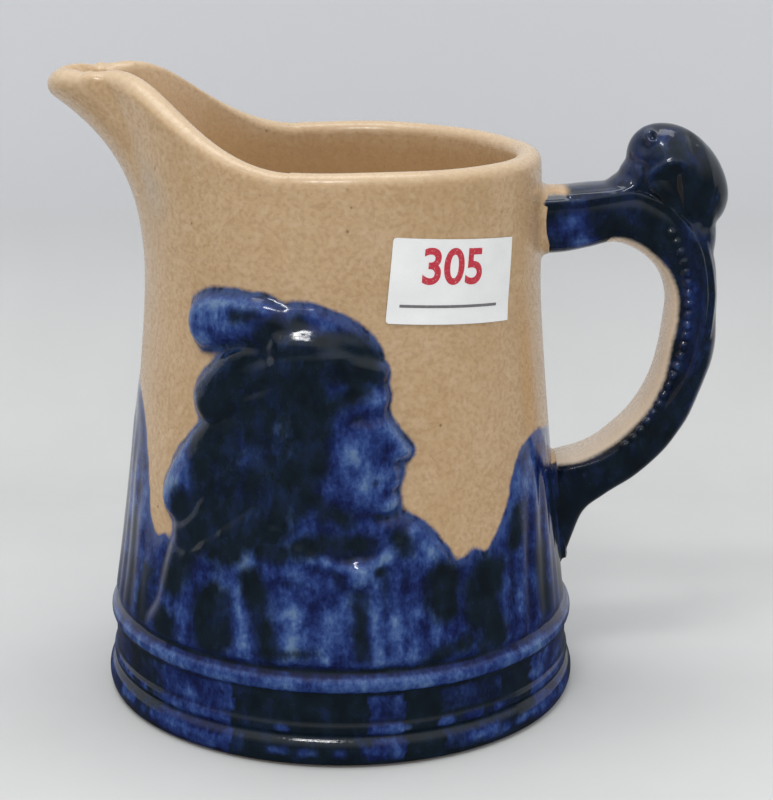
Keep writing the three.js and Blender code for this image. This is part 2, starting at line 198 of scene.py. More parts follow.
# The relief is worked out on a chart of half the wall: across it runs the length round the wall from the
# middle of the front, and up it the height.
relief_radius = 33.0
widest_relief = 38.3
chart_step = 0.25
chart_s, chart_z = np.meshgrid(np.arange(-53, 53.1, chart_step), np.arange(band_top, 74, chart_step))


def on_chart(places):
    # The places are typed as angles from the middle of the front, in degrees, and heights.
    return [(radians(angle) * relief_radius, z) for angle, z in places]


def rounded_line(points, closed=False, steps=6):
    # A smooth curve through the points.
    pts = np.array(points, float)
    ends = (pts[-1:], pts[:2]) if closed else (pts[:1], pts[-1:])
    run = np.vstack((ends[0], pts, ends[1]))
    curve = []
    for a, b, c, d in zip(run, run[1:], run[2:], run[3:]):
        for t in np.arange(steps) / steps:
            curve.append(0.5 * (2 * b + (c - a) * t + (2 * a - 5 * b + 4 * c - d) * t**2
                                + (3 * b - a - 3 * c + d) * t**3))
    curve.append(pts[0] if closed else pts[-1])
    return np.array(curve)


def follow(line, x, y):
    # For each place: its distance from the line, how far along the line it lies, and on which side.
    best = np.full(x.shape, 1e9)
    along = np.zeros(x.shape)
    side = np.zeros(x.shape)
    run = 0.0
    for a, b in zip(line, line[1:]):
        dx, dy = b - a
        length = hypot(dx, dy)
        if length == 0:
            continue
        t = np.clip(((x - a[0]) * dx + (y - a[1]) * dy) / length**2, 0, 1)
        off_x = x - a[0] - t * dx
        off_y = y - a[1] - t * dy
        distance = np.hypot(off_x, off_y)
        nearer = distance < best
        best = np.where(nearer, distance, best)
        along = np.where(nearer, run + t * length, along)
        side = np.where(nearer, np.sign(dx * off_y - dy * off_x) * distance, side)
        run += length
    return best, along, side, run


def depth_inside(line, x, y):
    # The distance from a closed line, positive inside it.
    inside = np.zeros(x.shape, bool)
    for a, b in zip(line, line[1:]):
        if a[1] == b[1]:
            continue
        crosses = ((a[1] > y) != (b[1] > y)) & (x < (b[0] - a[0]) * (y - a[1]) / (b[1] - a[1]) + a[0])
        inside ^= crosses
    return np.where(inside, 1, -1) * follow(line, x, y)[0]


def stroke(places):
    # How each place of the chart lies to a line drawn on it.
    return follow(rounded_line(on_chart(places)), chart_s, chart_z)


def patch_depth(places, steps=6):
    # How deep each place of the chart lies inside a closed outline.
    return depth_inside(rounded_line(on_chart(places), True, steps), chart_s, chart_z)


def cushion(depth, edge):
    # Height of a shape with a round edge, from 0 at its outline to 1.
    return np.sqrt(1 - (1 - np.clip(depth / edge, 0, 1))**2)


def ridge_on(distance, width):
    return np.exp(-(distance / width)**2)


def soften(field, passes):
    for _ in range(passes):
        edge = np.pad(field, 1, mode="edge")
        field = (edge[:-2, 1:-1] + edge[2:, 1:-1] + edge[1:-1, :-2] + edge[1:-1, 2:] + 4 * field) / 8
    return field


relief = np.zeros(chart_s.shape)
painted = 29.8 - chart_z

# Cloak over the shoulders, with upright folds that run down to the foot.
cloak_depth = patch_depth([
    (-51, 12), (-50.5, 22), (-48, 30), (-44, 33.5), (-34, 36), (-20, 37.2), (-6, 35.9), (6, 36.4), (13, 38.3),
    (17.5, 37.6), (21.9, 35.6), (25.8, 32.8), (28.2, 29.4), (29.2, 24), (29.5, 12),
])
relief = np.maximum(relief, 0.9 * cushion(cloak_depth, 2.4))
painted = np.maximum(painted, cloak_depth)
folds = (
    (0.45, [(-47, 31), (-46.4, 25), (-46.5, 16)]), (0.6, [(-40.8, 33), (-41, 24), (-40.6, 16)]),
    (0.35, [(-34, 31), (-36.5, 25), (-36, 16)]), (0.55, [(-26.5, 31), (-25.4, 26), (-23.4, 17)]),
    (0.3, [(-15.5, 29), (-16.5, 23), (-14, 17)]), (0.45, [(-12, 27), (-11.6, 22), (-11, 17.5)]),
    (0.4, [(-2.6, 26), (-3.4, 22), (-3.6, 17)]), (0.6, [(7.4, 29), (7.8, 24), (8.2, 16.5)]),
    (0.35, [(12.8, 31), (12.9, 24), (13.2, 17)]), (0.45, [(17.6, 32), (17.4, 24), (16.8, 16)]),
    (0.35, [(22.5, 33), (22.6, 25), (22, 17)]),
)
for proud, fold in folds:
    distance, along, side, length = stroke(fold)
    crease = 0.5 * proud * ridge_on(side - 1.5, 0.8)
    pleat = 0.6 * proud * ridge_on(distance, 1.1) - 0.5 * crease * (distance < 3)
    relief += np.where(cloak_depth > 0, pleat, 0)
fringe = 0.08 * np.cos(2 * pi * chart_s / 2.1) * smooth_step(-chart_z, -23, -21.5)
relief += np.where((chart_s > -12) & (chart_s < -1), fringe, 0)

# Reeds rise between the two figures, under the spout and beside the handle, and sink into the wall at
# their tips.
reeds = (
    [(-56, 13), (-56.5, 20), (-57.5, 28)], [(-62, 13), (-62.5, 24), (-64.5, 36)],
    [(-68, 13), (-68.6, 28), (-72, 44)], [(-74.5, 13), (-74.8, 30), (-77, 47)],
    [(-82, 13), (-82.5, 30), (-84, 49)], [(-90, 13), (-90, 30), (-90, 49)],
    [(35, 13), (35.5, 19), (36.5, 26)], [(42, 13), (43, 21), (45.5, 30)], [(49, 13), (50.5, 26), (53, 38)],
    [(56.5, 13), (58.5, 28), (61.5, 43)], [(64.5, 13), (66, 28), (67.5, 43)],
)
handle_bare = (np.abs(np.abs(chart_s) - radians(90) * relief_radius) < 9.5) & (chart_s > 0)
for reed in reeds:
    distance, along, side, length = stroke(reed)
    width = 1.8 * (1 - 0.3 * along / length)
    blade = 0.34 * cushion(width - distance, 1.8) * smooth_step(length - along, 0, 7)
    relief = np.maximum(relief, np.where(handle_bare, 0, blade))
for bank in (
    [(-100, 50.2), (-84, 50.4), (-76, 49.2), (-69.5, 46.2), (-64.6, 40.5), (-59.5, 32.2), (-54.4, 29.9),
     (-50, 29.2), (-50, 10), (-100, 10)],
    [(100, 43), (84, 43.2), (75, 44.2), (65, 45.3), (56, 44), (51.5, 40.8), (48.5, 36.8), (44, 33.1),
     (39, 29.9), (33, 29.8), (33, 10), (100, 10)],
):
    bank_depth = patch_depth(bank, steps=4)
    relief += np.where(handle_bare, 0, 0.25 * cushion(bank_depth, 2.5))
    painted = np.maximum(painted, bank_depth)

# Head in profile. Its own measure is a third of the face, from chin to nose, nose to brow and brow to hair:
# one length u forward of the face's upright and one v above the chin.
face_third = 7.7
chin_place = (7.4, 38.9)
head_tilt = radians(3)
ahead = chart_s - chin_place[0]
above_chin = chart_z - chin_place[1]
head_u = (ahead * cos(head_tilt) + above_chin * sin(head_tilt)) / face_third
head_v = (above_chin * cos(head_tilt) - ahead * sin(head_tilt)) / face_third


def head_depth_of(places):
    return depth_inside(rounded_line(places, closed=True), head_u, head_v) * face_third


def head_line(places, width):
    # A ridge of height 1 along a line on the head.
    return ridge_on(follow(rounded_line(places), head_u, head_v)[0], width)


def swelling(u, v, wide, tall):
    return np.exp(-((head_u - u) / wide)**2 - ((head_v - v) / tall)**2)


neck_depth = head_depth_of([(-0.5, 0.4), (-0.3, 0.0), (0.25, -0.5), (-2.6, -0.9), (-2.7, 0.5), (-1.8, 1.2)])
relief = np.maximum(relief, 1.05 * cushion(neck_depth, 3.0))
painted = np.maximum(painted, neck_depth)

head_depth = head_depth_of([
    (-1.2, 3.62), (-0.5, 3.42), (-0.12, 2.98), (0.0, 2.55), (0.05, 2.2), (-0.04, 1.96), (0.08, 1.7),
    (0.27, 1.38), (0.42, 1.18), (0.37, 1.04), (0.13, 0.97), (0.1, 0.86), (0.2, 0.75), (0.12, 0.66),
    (0.16, 0.55), (0.03, 0.43), (0.1, 0.25), (0.04, 0.06), (-0.2, -0.03), (-0.7, 0.1), (-1.25, 0.42),
    (-1.6, 0.85), (-2.3, 1.1), (-2.85, 1.6), (-3.0, 2.4), (-2.6, 3.2), (-1.9, 3.6),
])
face = 1.7 * cushion(head_depth, 2.3)
face += 0.35 * swelling(-0.8, 1.2, 0.75, 0.8)
face += 0.36 * head_line([(-0.04, 2.08), (-0.35, 2.17), (-0.85, 2.02)], 0.13)
face -= 0.75 * swelling(-0.38, 1.84, 0.34, 0.16)
face += 0.62 * swelling(-0.38, 1.76, 0.22, 0.11)
for lid in ([(-0.1, 1.74), (-0.34, 1.9), (-0.68, 1.75)], [(-0.14, 1.7), (-0.36, 1.62), (-0.62, 1.7)]):
    face += 0.34 * head_line(lid, 0.05)
face += 0.34 * head_line([(-0.06, 1.88), (0.1, 1.55), (0.3, 1.2)], 0.13)
face += 0.45 * swelling(0.1, 1.12, 0.13, 0.12)
face -= 0.45 * head_line([(-0.04, 1.3), (-0.1, 1.12), (0.02, 0.99)], 0.06)
face += 0.4 * swelling(-0.66, 1.3, 0.34, 0.2)
face -= 0.25 * head_line([(-0.14, 1.0), (-0.3, 0.76), (-0.4, 0.5)], 0.08)
face -= 0.6 * head_line([(0.18, 0.665), (-0.08, 0.66), (-0.32, 0.64)], 0.05)
for lip_line in ([(0.14, 0.76), (-0.22, 0.71)], [(0.1, 0.545), (-0.2, 0.58)]):
    face += 0.38 * head_line(lip_line, 0.075)
face -= 0.35 * swelling(-0.04, 0.4, 0.2, 0.07)
face += 0.3 * swelling(-0.1, 0.2, 0.22, 0.16)
relief = np.where(head_depth > 0, np.maximum(relief, face), relief)
painted = np.maximum(painted, head_depth)

# Long hair falls from under the band, over the nape and the shoulder.
hair_depth = head_depth_of([
    (-1.0, 2.75), (-1.15, 2.2), (-1.2, 1.5), (-1.55, 0.8), (-1.55, 0.0), (-1.45, -0.9), (-1.8, -1.3),
    (-2.9, -1.25), (-4.1, -0.9), (-4.0, 0.3), (-3.5, 1.5), (-3.2, 2.6), (-2.2, 3.0),
])
parting = rounded_line([(-1.5, 2.9), (-1.9, 1.6), (-2.3, 0.3), (-2.2, -1.4)])
_, strand, side_of_hair, _ = follow(parting, head_u, head_v)
locks = np.cos(2 * pi * side_of_hair / 0.42 + 1.1 * np.sin(2.2 * strand))
locks += 0.6 * np.cos(2 * pi * side_of_hair / 0.71 + 0.8)
tress = 1.6 * cushion(hair_depth, 2.6) + 0.11 * locks
relief = np.where(hair_depth > 0, np.maximum(relief, tress), relief)
painted = np.maximum(painted, hair_depth)

# Feathers of the headdress: broad, with a round tip, a raised quill and faint slanting barbs. Each line of
# places has its half width and its height.
feathers = (
    (3.0, 1.25, [(-16, 44.5), (-25, 41.5), (-34, 37.5), (-42, 33.5)]),
    (3.6, 1.6, [(-17, 53), (-26, 51), (-36, 46.8), (-43.2, 42), (-46.3, 38.2)]),
    (3.5, 1.9, [(-12, 60.3), (-20, 60.3), (-28, 58.6), (-34.2, 55.6), (-36.4, 54.2)]),
    (3.5, 2.2, [(-8, 65.8), (-18, 66.3), (-27, 66.3), (-35, 65.6), (-39.4, 64.8)]),
)
for half_width, proud, places in feathers:
    distance, along, side, length = stroke(places)
    depth = half_width * (0.5 + 0.5 * smooth_step(along / length, 0, 0.45)) - distance
    barbs = 0.06 * np.cos(2 * pi * (along - 0.85 * np.abs(side)) / 1.7)
    quill = 0.2 * ridge_on(side, 0.6) - 0.08 * ridge_on(np.abs(side) - 1.2, 0.6)
    grown = smooth_step(along / length, 0, 0.5)
    blade = proud * (0.55 + 0.45 * grown) * cushion(depth, 2.4) + (barbs + quill) * cushion(depth, 1.1)
    beside = relief - 0.3 * grown * ridge_on(depth, 0.6) * (relief > 0)
    relief = np.where(depth > 0, np.maximum(blade, relief * (1 - 0.75 * grown)), beside)
    painted = np.maximum(painted, depth)

# The cap of the headdress swells between the crown feather and the brow.
cap_depth = patch_depth([
    (-24, 67.5), (-18, 69), (-8, 69), (0, 67.4), (6, 65.2), (9.6, 62.6), (9.6, 60), (2, 57.6), (-8, 54.5),
    (-20, 55), (-25, 60),
])
relief = np.maximum(relief, 1.0 * cushion(cap_depth, 1.6) + 2.0 * smooth_step(cap_depth, 1.9, 5.6))
painted = np.maximum(painted, cap_depth)

brow_band_half = 1.5
brow_band = rounded_line([(-0.14, 2.7), (-0.7, 2.9), (-1.7, 2.95), (-2.7, 2.62)])
band_off, band_along, _, _ = follow(brow_band, head_u, head_v)
band_off *= face_third
studs = np.cos(2 * pi * band_along * face_third / 2.3)
band_depth = brow_band_half - band_off
band_rise = 2.15 * cushion(band_depth, 1.3) + 0.06 * studs
relief = np.where(band_depth > 0, np.maximum(relief, band_rise), relief)
relief -= 0.35 * ridge_on(band_off - 1.9, 0.6) * (head_depth > 0)
painted = np.maximum(painted, band_depth)

# Beads hang round the neck, with a plain disc at their middle.
string_places = [(-18, 36.6), (-11, 33.4), (-3, 31.5), (2.7, 30.9), (8.5, 31.8), (13.5, 33.8), (18, 36.2)]
string_bead_pitch = 2.2
string_bead_radius = 1.05
disc_radius = 2.4


def bead_row(off, along, pitch, radius):
    # How deep each place lies inside the nearest bead of a row.
    return radius - np.hypot(off, np.abs((along / pitch) % 1 - 0.5) * pitch)


bead_off, bead_along, _, _ = stroke(string_places)
relief += 0.55 * cushion(bead_row(bead_off, bead_along, string_bead_pitch, string_bead_radius), 0.9)
disc_place = on_chart([(4.0, 30.0)])[0]
disc_depth = disc_radius - np.hypot(chart_s - disc_place[0], chart_z - disc_place[1])
relief = np.where(disc_depth > 0, np.maximum(relief, 2.5 * cushion(disc_depth, 2.3)), relief)

# Along these strokes the brush left the cobalt thick, and it fired to a green-black pool. Two of them are
# also
# painted shade: under the jaw, and along the neck above the beads. Each line of places has its half width.
thick_and_shade_strokes = (
    (1.0, [(-28.2, 67.0), (-24.3, 67.2)]), (4.0, [(-16, 61.4), (-8, 61.8), (0, 62.0), (6, 61.6)]),
    (2.2, [(-21, 63.6), (-17.5, 65.2), (-12, 65.8)]), (2.8, [(-28, 60), (-33, 56.5), (-36, 52.5)]),
    (5.2, [(-20, 60), (-25, 52), (-23, 46), (-24, 40), (-30, 35)]),
    (4.2, [(-11, 58), (-10, 50), (-13, 43), (-18, 38)]),
    (3.4, [(-36, 48), (-35, 40), (-38, 33.5)]), (2.6, [(-43, 37.5), (-42, 32.5), (-45, 25.5)]),
    # Painted shade: the second stroke on the next line, under the jaw, and the first on the line after, above
    # the beads.
    (1.5, [(-9, 51.7), (-3, 54.9), (5, 57.6)]), (1.5, [(-9.5, 42.5), (-4.3, 39.6), (1, 38.2)]),
    (1.5, [(-10.7, 33.6), (-2.6, 34.6), (5.2, 34.4)]), (1.3, [(-19.6, 33.4), (-14.9, 33)]),
    (3.1, [(-32.1, 23.6), (-31.5, 18.2)]), (2.2, [(-46.8, 18.6), (-46, 15.4)]),
    (1.6, [(-21.8, 28.9), (-19.8, 23.7), (-16.8, 17.9)]), (1.0, [(3.4, 26.8), (4.2, 23.5), (4.6, 17.8)]),
    (0.7, [(-15.9, 17.6), (-6, 18)]), (1.2, [(13.6, 35.4), (14.8, 33.6)]), (2.5, [(25, 28.4), (24.5, 24)]),
    (3.0, [(39.5, 27.6), (35.7, 23.6), (38.2, 17.4)]), (1.5, [(31.5, 18.3), (23.8, 16.6), (20.8, 15.2)]),
    (1.0, [(-68, 32), (-66, 18)]), (1.7, [(60.5, 27), (61.5, 18.5)]), (2.0, [(-84, 41), (-83, 24)]),
    (2.4, [(75, 36), (77, 21)]), (1.6, [(-57, 24), (-58, 17)]), (1.4, [(49, 31), (52, 36)]),
)
pooled_and_shade = np.full(chart_s.shape, -1.0)
for half_width, places in thick_and_shade_strokes:
    distance = stroke(places)[0]
    pooled_and_shade = np.maximum(pooled_and_shade, 2 * smooth_step(half_width - distance, -2.2, 1.6) - 1)

# Thick glaze fills the hollows, so the relief is low and smooth under a pool.
relief = np.where(handle_bare, 0, relief)
filled = 0.5 * smooth_step(soften(pooled_and_shade, 20), -0.9, 0.5) * (chart_z < 60)
relief += filled * (soften(relief, 90) - relief)
relief *= smooth_step(chart_z, band_top + 0.1, band_top + 1.6)
relief = np.minimum(soften(relief, 8), widest_relief - wall_radius(chart_z))
crest = soften(np.clip((relief - soften(relief, 50)) / 0.28, -1, 1), 5)
pooled_and_shade = np.maximum(pooled_and_shade, np.clip(-1.5 * crest - 0.8, -1, 1)) + np.maximum(0, -crest) * 0.3
painted = soften(painted, 20) + 0.8

# Along these it was wiped thin, and fired to a pale grey-blue; three strokes also paint light, as noted
# below.
thin_and_sheen_strokes = (
    (1.7, [(-23.4, 32), (-28.2, 28.1), (-32.4, 26.2)]), (0.9, [(-25.2, 27.7), (-23.2, 18.5)]),
    (1.1, [(-2.4, 23.4), (-3.5, 18.2)]), (0.8, [(1.4, 25.8), (0.2, 24)]), (0.7, [(7.6, 25.5), (8.2, 17.4)]),
    (1.3, [(-11.8, 23), (-11.2, 18.8)]), (1.1, [(12.9, 24), (13.2, 18)]), (0.8, [(17.2, 24), (16.8, 17)]),
    (0.8, [(22.3, 23), (22, 20)]), (1.4, [(60.5, 42.6), (56.1, 39.2)]), (0.8, [(44.4, 23), (44, 19.6)]),
    (0.8, [(49.8, 25), (49.4, 20)]), (0.7, [(-18, 36.6), (-11, 33.4), (-3, 31.5), (2.7, 30.9)]),
    (0.7, [(2.7, 30.9), (8.5, 31.8), (13.5, 33.8), (18, 36.2)]), (0.7, [(-33.5, 65.5), (-22.6, 65.6)]),
    (0.7, [(-38, 67.6), (-29, 69), (-20, 68.8)]),
    (1.6, [(-39.2, 51.4), (-43.1, 47.1), (-47, 41.2), (-48.3, 36.8)]),
    (1.5, [(-32.8, 59.2), (-36.9, 56.1), (-38.6, 54)]), (1.1, [(-37.5, 42.4), (-37.1, 41.6)]),
    (1.3, [(-14.9, 52.5), (-15.8, 49.8), (-14.3, 47.8)]), (2.0, [(1, 47.5), (6, 44)]),
    # Next line: the second stroke is a painted highlight on the chin, the third a painted reflection near the
    # left edge.
    (0.9, [(13, 52), (16.5, 48)]), (1.0, [(12.2, 41.4), (12.6, 40.2)]), (0.8, [(-73.6, 36), (-68, 24)]),
    # Next line: the first stroke is a painted reflection of the pale room near the left edge.
    (1.0, [(-62, 33), (-64, 38)]), (0.9, [(53, 41), (48.5, 35)]), (1.2, [(20.5, 35), (23.5, 32.5)]),
)
paled = np.zeros(chart_s.shape)
for half_width, places in thin_and_sheen_strokes:
    distance = stroke(places)[0]
    paled = np.maximum(paled, smooth_step(half_width - distance, -1.0, 0.8))


def chart_value(field, s, z):
    column = np.clip((s - chart_s[0, 0]) / chart_step, 0, chart_s.shape[1] - 1.001)
    row = np.clip((z - chart_z[0, 0]) / chart_step, 0, chart_z.shape[0] - 1.001)
    i, j = row.astype(int), column.astype(int)
    p, q = row - i, column - j
    return ((1 - p) * ((1 - q) * field[i, j] + q * field[i, j + 1])
            + p * ((1 - q) * field[i + 1, j] + q * field[i + 1, j + 1]))


def read_vectors(items, name):
    flat = np.empty(len(items) * 3)
    items.foreach_get(name, flat)
    return flat.reshape(-1, 3)


def place_points(mesh, points):
    mesh.vertices.foreach_set("co", np.ascontiguousarray(points).ravel())
    mesh.update()


def paint_attribute(mesh, name, values):
    mesh.attributes.new(name, "FLOAT", "POINT").data.foreach_set("value", values.astype(np.float32))


def mesh_from(bm, name, smooth=True):
    # Closes the mesh's seams and points its faces outward.
    bmesh.ops.remove_doubles(bm, verts=bm.verts, dist=1e-4)
    bmesh.ops.recalc_face_normals(bm, faces=bm.faces)
    for facet in bm.faces:
        facet.smooth = smooth
    mesh = bpy.data.meshes.new(name)
    bm.to_mesh(mesh)
    bm.free()
    return mesh


def set_out(name, data):
    # Puts a new object into the scene.
    made = bpy.data.objects.new(name, data)
    bpy.context.scene.collection.objects.link(made)
    return made


def add_piece(mesh, material, slot_name, *nodes):
    mesh.transform(Matrix.Scale(0.001, 4))
    mesh.materials.append(material)
    piece = set_out(mesh.name, mesh)
    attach(piece, "root")
    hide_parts(*nodes)


bm = bmesh.new()
turned = [bm.verts.new((radius, 0, z)) for radius, z in body_profile()]
outline = [bm.edges.new(pair) for pair in zip(turned, turned[1:])]
bmesh.ops.spin(bm, geom=turned + outline, cent=(0, 0, 0), axis=(0, 0, 1), angle=2 * pi, steps=body_segments,
               use_merge=True)
body_mesh = mesh_from(bm, "glazed_body")
points = read_vectors(body_mesh.vertices, "co")
radius = np.hypot(points[:, 0], points[:, 1])
height = points[:, 2].copy()
front_angle = np.arctan2(points[:, 0], -points[:, 1])
front_angle -= front_crowding * np.sin(2 * front_angle)
inside = (height > foot_recess + 1) & (radius < wall_radius(height) - rim_round)
on_wall = (np.abs(radius - wall_radius(height)) < rim_round / 2) & (height > band_top) & (height < rim_centre)
mirrored = np.where(np.abs(front_angle) <= pi / 2, front_angle, np.sign(front_angle) * pi - front_angle)
along_wall = mirrored * relief_radius
radius += np.where(on_wall, chart_value(relief, along_wall, height), 0)
wobble = (np.sin(3 * front_angle + height / 17 + 1) + np.sin(5 * front_angle - height / 11 + 2)
          + 0.6 * np.sin(9 * front_angle + height / 7))
radius += 0.045 * wobble * smooth_step(radius, 10, 25) * smooth_step(height, band_top, band_top + 8)
height += 0.07 * (wobble - 2.6) * smooth_step(height, rim_centre - 6, rim_height)
points = np.column_stack((radius * np.sin(front_angle), -radius * np.cos(front_angle), height))
place_points(body_mesh, pull_spout(points))

on_foot = height < band_top
cobalt = np.where(on_foot, 4.0, chart_value(painted, along_wall, height))
cobalt = np.where(inside | (height > neck_height + 5) | (height < 0.45), -4.0, cobalt)
crests = np.where(on_foot, 0.0, chart_value(crest, along_wall, height))
pool_and_shade_of_body = np.where(on_foot, -1.0, chart_value(pooled_and_shade, along_wall, height))
thin_and_sheen_of_body = np.where(on_foot, 0.0, chart_value(paled, along_wall, height))

# Round the foot the brush left upright bars of cobalt, each thick or thin from one edge to the next. The
# angles are in degrees from the middle of the front.
turn = np.degrees(front_angle)
bar_edges = (-180, -158, -139, -121, -104, -92, -78, -64, -51, -47.5, -26, 6.5, 15, 24, 41.5, 53.5, 76, 98,
             112, 131, 150, 166, 180)
bar_tones = np.array((0.8, -0.6, 0.9, -0.2, 0.5, -0.7, 0.1, 0.7, 0.2, -0.8, 1.0, -0.3, 1.0, 0.3, 0.8, -0.9,
                      0.5, -0.8, 0.9, -0.3, 1.0, -0.5))
bar_of = np.clip(np.searchsorted(bar_edges, turn + 0.5 * np.sin(1.3 * height)) - 1, 0, len(bar_tones) - 1)
below_bead = smooth_step(-height, -12.1, -11.7)
pool_and_shade_of_body = np.where(on_foot, bar_tones[bar_of] * below_bead - (1 - below_bead), pool_and_shade_of_body)
foot_grooves = ((14.6, 0.5), (11.6, 1.3), (7.0, 0.7), (4.75, 1.2), (0.9, 1.2))
for groove, strength in foot_grooves:
    pool_and_shade_of_body += strength * ridge_on(height - groove, 0.4) * (height < band_top + 0.8)
    crests -= 0.6 * ridge_on(height - groove, 0.35) * (height < band_top + 0.8)
on_bead = smooth_step(1.15 - np.abs(2 * (height - band_bead[0]) / band_bead[1]), 0, 0.5) * on_foot
thin_and_sheen_of_body += 0.85 * on_bead
pool_and_shade_of_body -= on_bead
# Short touches where the brush took the cobalt off a bead, each by its height and its two ends.
touches = ((5.9, -15.5, -11.5), (5.9, 7, 16.5), (5.9, 23, 27.5), (5.9, 29.5, 35), (5.9, 39, 42.5),
           (5.9, -44, -30), (2.6, -17, -12), (2.6, -9.5, -5), (2.6, -1.5, 1.5), (2.6, 5, 10), (2.9, 30, 39),
           (2.6, 41, 43), (2.6, 45, 49), (2.8, -48, -27), (8.6, -43.5, -37), (8.4, 52, 60))
for shift in (0, 96, 187, 264):
    for level, start, stop in touches:
        off = np.abs((turn - shift - (start + stop) / 2 + 180) % 360 - 180)
        touch = smooth_step((stop - start) / 2 - off, -1, 1) * ridge_on(height - level, 0.75) * on_foot
        thin_and_sheen_of_body = np.maximum(thin_and_sheen_of_body, 0.75 * touch)
        pool_and_shade_of_body -= 1.3 * touch

paint_attribute(body_mesh, "cobalt", cobalt)
paint_attribute(body_mesh, "crest", np.clip(crests, -1, 1))
paint_attribute(body_mesh, "pool_and_painted_light", np.clip(pool_and_shade_of_body, -1, 1))
paint_attribute(body_mesh, "thin_and_sheen", np.clip(thin_and_sheen_of_body, 0, 1))
ochre = ridge_on(turn - 62 - (height - 55) * 0.06, 4)
ochre *= smooth_step(height, 42, 52) * smooth_step(-height, -70, -58)
paint_attribute(body_mesh, "ochre", ochre * ~inside)
# Painted reflection: a grey tint on the left of the neck, where the glaze mirrors the pale room.
painted_sheen = ridge_on(turn + 62, 7) * ridge_on(height - 77, 2.6)
paint_attribute(body_mesh, "painted_sheen", 0.6 * painted_sheen * ~inside)
# Inside the jug the clear glaze ran thicker and fired browner.
paint_attribute(body_mesh, "inside", inside * smooth_step(rim_height - height, 1.5, 6))
paint_attribute(body_mesh, "rim", smooth_step(height, rim_centre + 0.2, rim_height - 0.3))


def srgb(red, green, blue):
    linear = [(c / 255 / 12.92) if c <= 10 else ((c / 255 + 0.055) / 1.055)**2.4 for c in (red, green, blue)]
    return (*linear, 1)


def feed(tree, socket, value):
    # Links a socket to another node's output, or sets it to a plain value.
    if isinstance(value, bpy.types.NodeSocket):
        tree.links.new(value, socket)
    else:
        socket.default_value = value


def node(tree, kind, inputs=None, **options):
    made = tree.nodes.new(kind)
    for name, value in options.items():
        setattr(made, name, value)
    for name, value in (inputs or {}).items():
        feed(tree, made.inputs[name], value)
    return made


def maths(tree, operation, *values):
    made = tree.nodes.new("ShaderNodeMath")
    made.operation = operation
    for socket, value in zip(made.inputs, values):
        feed(tree, socket, value)
    return made.outputs[0]


def times(tree, first, second):
    return maths(tree, "MULTIPLY", first, second)


def plus(tree, base, value, share):
    return maths(tree, "ADD", base, times(tree, value, share))


def band_of(tree, value, low, high, to_low=0.0, to_high=1.0):
    limits = {"Value": value, "From Min": low, "From Max": high, "To Min": to_low, "To Max": to_high}
    return node(tree, "ShaderNodeMapRange", limits, interpolation_type="SMOOTHSTEP").outputs["Result"]


def grain(tree, size, detail=3.0, roughness=0.55, stretch=1.0, shift=0.0):
    # Noise whose lumps are about this many millimetres across, drawn out upwards by the stretch.
    place = node(tree, "ShaderNodeTexCoord").outputs["Object"]
    scale = 1000 / size
    mapped = node(tree, "ShaderNodeMapping", {"Vector": place, "Location": (shift, shift, shift),
                                              "Scale": (scale, scale, scale / stretch)})
    made = node(tree, "ShaderNodeTexNoise", {"Vector": mapped.outputs[0], "Scale": 1.0, "Detail": detail,
                                             "Roughness": roughness})
    return made.outputs["Fac"]


def unevenness(tree, *sizes, **shifts):
    # Grain that goes as far below nought as above it.
    return maths(tree, "SUBTRACT", grain(tree, *sizes, **shifts), 0.5)


def colours(tree, factor, stops):
    made = node(tree, "ShaderNodeValToRGB", {"Fac": factor})
    ramp = made.color_ramp
    while len(ramp.elements) < len(stops):
        ramp.elements.new(0.5)
    for element, (position, colour) in zip(ramp.elements, stops):
        element.position = position
        element.color = srgb(*colour)
    return made.outputs["Color"]


def blend(tree, factor, first, second, kind="MIX"):
    made = node(tree, "ShaderNodeMix", data_type="RGBA", blend_type=kind)
    for name, value in (("Factor_Float", factor), ("A_Color", first), ("B_Color", second)):
        feed(tree, next(s for s in made.inputs if s.identifier == name), value)
    return next(s for s in made.outputs if s.identifier == "Result_Color")


def attribute(tree, name):
    return node(tree, "ShaderNodeAttribute", attribute_name=name).outputs["Fac"]


def glaze_group(name, *inputs):
    # A glaze that more than one material uses: its colour, the height of its surface and its roughness.
    group = bpy.data.node_groups.new(name, "ShaderNodeTree")
    for label in inputs:
        group.interface.new_socket(label, in_out="INPUT", socket_type="NodeSocketFloat")
    group.interface.new_socket("Color", in_out="OUTPUT", socket_type="NodeSocketColor")
    for label in ("Height", "Gloss"):
        group.interface.new_socket(label, in_out="OUTPUT", socket_type="NodeSocketFloat")
    return group, group.nodes.new("NodeGroupInput").outputs, group.nodes.new("NodeGroupOutput").inputs


# Clear glaze over buff clay: a warm tan, finely mottled, with iron specks here and there.
buff, _, buff_out = glaze_group("buff glaze")
tan = colours(buff, grain(buff, 11, 4, 0.6), ((0.25, (182, 151, 112)), (0.5, (190, 160, 123)),
                                              (0.75, (195, 167, 133))))
mottle = grain(buff, 0.7, 2, 0.6, shift=3.1)
tan = blend(buff, band_of(buff, mottle, 0.4, 0.66, 0.0, 0.42), tan, srgb(158, 122, 82))
pale = grain(buff, 1.5, 2, 0.5, shift=7.7)
tan = blend(buff, band_of(buff, pale, 0.5, 0.72, 0.0, 0.25), tan, srgb(206, 182, 150))
place = node(buff, "ShaderNodeTexCoord").outputs["Object"]
iron = node(buff, "ShaderNodeTexVoronoi", {"Vector": place, "Scale": 330.0}, feature="F1")
specks = times(buff, band_of(buff, iron.outputs["Distance"], 0.05, 0.11, 1.0, 0.0),
               band_of(buff, grain(buff, 5, 1, 0.5, shift=1.7), 0.52, 0.6))
tan = blend(buff, times(buff, specks, 0.6), tan, srgb(104, 74, 48))
buff.links.new(tan, buff_out["Color"])
peel = times(buff, grain(buff, 1.1, 2, 0.5, shift=5.2), 0.16)
